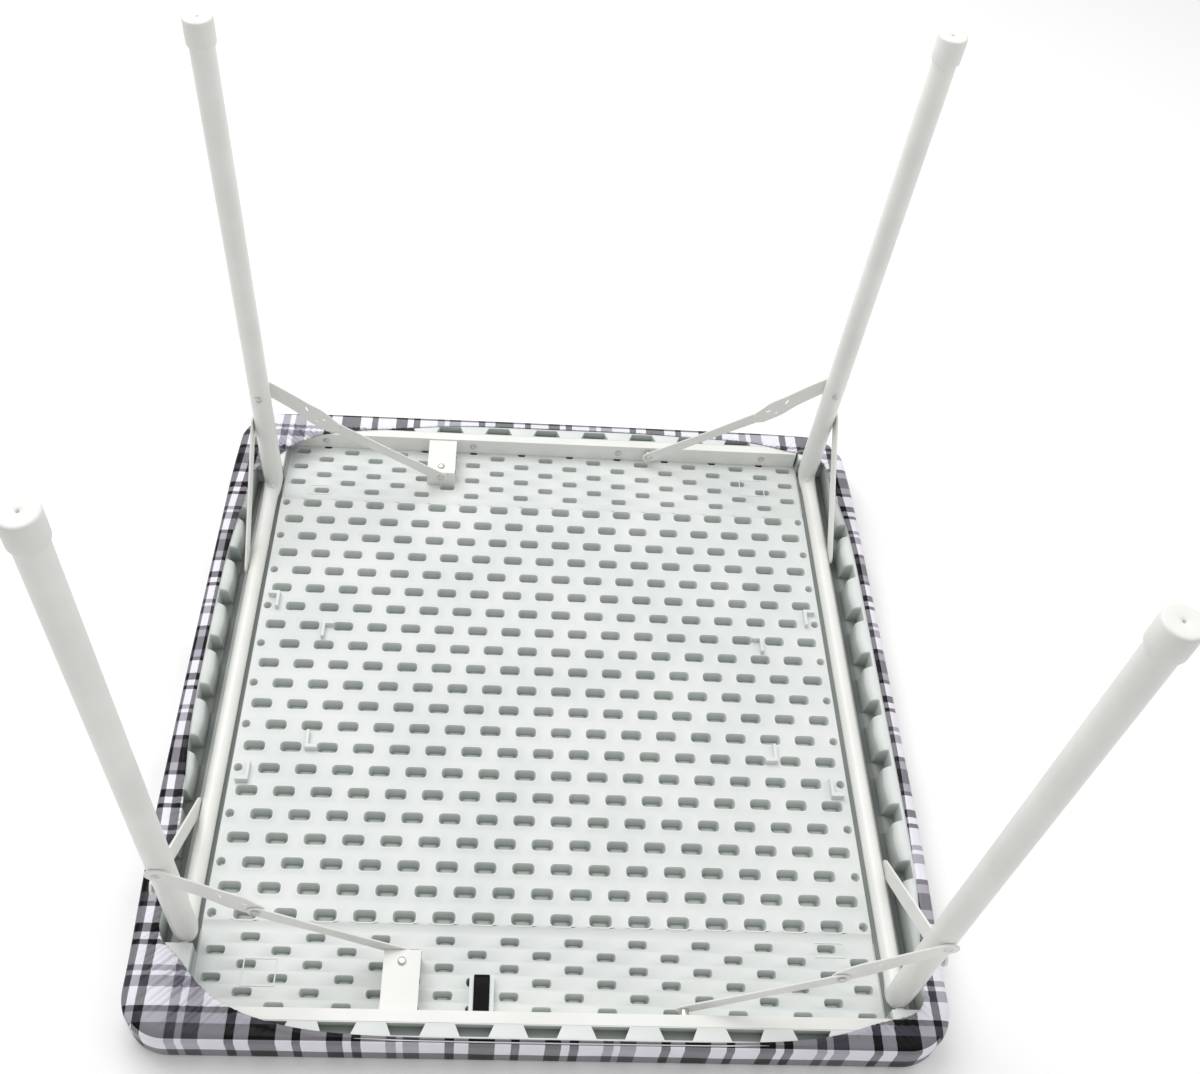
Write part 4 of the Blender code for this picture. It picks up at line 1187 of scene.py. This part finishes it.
def build_strap():
    """Black webbing folded flat in its holder."""
    width = strap_high[0] - strap_low[0]
    x = (strap_low[0] + strap_high[0]) / 2
    y0, y1 = strap_low[1] + 0.001, strap_high[1] + 0.003
    base = strap_low[2]
    middle = (y0 + y1) / 2
    turn = np.linspace(0.3, 2.9, 6)
    route = [(y0 + 0.004, base + 0.0004), (y1 - 0.003, base + 0.0005)]
    route += [(y1 - 0.002 + 0.0014 * math.sin(a), base + 0.0012 - 0.0008 * math.cos(a))
              for a in turn]
    route += [(y1 - 0.006, base + 0.0021), (middle, base + 0.0023), (y0 + 0.005, base + 0.0022)]
    route += [(y0 + 0.002 - 0.0016 * math.sin(a), base + 0.0030 - 0.0009 * math.cos(a))
              for a in turn]
    route += [(y0 + 0.007, base + 0.0040), (middle, base + 0.0043), (y1 - 0.004, base + 0.0041)]
    across = [-0.5, -0.46, -0.2, 0.0, 0.2, 0.46, 0.5]
    rings = [[(x + width * a, y, z - 0.0002 * (abs(a) > 0.45)) for a in across] for y, z in route]
    obj = piece("folded_strap", Shape(rings, closed=False), STRAP, "clothed_top",
                "black_webbing", replaces=("leg_strap",), angle=60)
    thicken(obj, 0.0010)


# CAD nodes that stay


def finish_kept_nodes():
    """Materials, and on the sheet parts soft edges, for the CAD nodes that still show."""
    for name, obj in frame["nodes"].items():
        if obj.hide_render:
            continue
        if "screw" in name or "rivet" in name or name.endswith("foot_pin"):
            finish, width = ZINC, 0.0
        elif name.endswith("hinge_pin"):
            finish, width = PAINT, 0.0
        elif name == "strap_holder":
            finish, width = PLASTIC, 0.0006
        else:
            finish, width = PAINT, 0.0005
        for index in range(len(obj.material_slots)):
            obj.material_slots[index].material = finish
        if width:
            soften(obj, width)


build_panel()
build_moulded_top()
build_clips()
build_ribs()
for name in SIDE:
    build_channel_wall(name)
    build_cross_tube(name)
    for tag in END:
        build_leg(name, tag)
        build_foot(name, tag)
        build_upper_link(name, tag)
        build_lower_link(name, tag)
        build_rivet_face(name, tag)
build_strap()
build_hem_cord()
build_cloth()
finish_kept_nodes()

# Floor, light and camera


def build_stage():
    floor = Shape()
    floor.add([(-6, -6, 0), (6, -6, 0), (6, 6, 0), (-6, 6, 0)], [(0, 1, 2, 3)])
    obj = bpy.data.objects.new("floor", floor.mesh("floor"))
    VISUALS.objects.link(obj)
    obj.location.z = -0.0004
    paper = Nodes("studio floor")
    paper.shader.inputs["Base Color"].default_value = (0.94, 0.94, 0.94, 1)
    paper.shader.inputs["Roughness"].default_value = 0.9
    paper.shader.inputs["Emission Color"].default_value = (1, 1, 1, 1)
    paper.shader.inputs["Emission Strength"].default_value = 0.10
    obj.data.materials.append(paper.material)

    world = bpy.data.worlds.new("studio")
    bpy.context.scene.world = world
    world.use_nodes = True
    background = world.node_tree.nodes["Background"]
    background.inputs["Color"].default_value = (1.0, 1.0, 1.0, 1)
    background.inputs["Strength"].default_value = 0.50

    for name, place, size, power in (
            ("key", (-0.9, 1.2, 2.8), 2.4, 60), ("fill", (1.9, 0.3, 2.6), 2.6, 20)):
        lamp = bpy.data.lights.new(name, "AREA")
        lamp.size = size
        lamp.energy = power
        light = bpy.data.objects.new(name, lamp)
        bpy.context.scene.collection.objects.link(light)
        light.location = place
        aim = Vector((0, 0, 0.05)) - Vector(place)
        light.rotation_euler = aim.to_track_quat("-Z", "Y").to_euler()


def build_camera():
    right = Vector((0.99746, -0.00561, 0.07100))
    up = Vector((-0.04369, 0.73906, 0.67222))
    back = right.cross(up).normalized()
    up = back.cross(right).normalized()
    camera = bpy.data.cameras.new("camera")
    camera.sensor_fit = "HORIZONTAL"
    camera.sensor_width = 36.0
    camera.lens = 38.71
    camera.shift_x = 0.0276
    camera.shift_y = -0.0794
    obj = bpy.data.objects.new("camera", camera)
    bpy.context.scene.collection.objects.link(obj)
    turn = Matrix((right, up, back)).transposed().to_4x4()
    obj.matrix_world = Matrix.Translation((-0.0760, -0.8598, 1.4301)) @ turn
    bpy.context.scene.camera = obj


build_stage()
build_camera()
bpy.context.scene.view_settings.view_transform = "Standard"
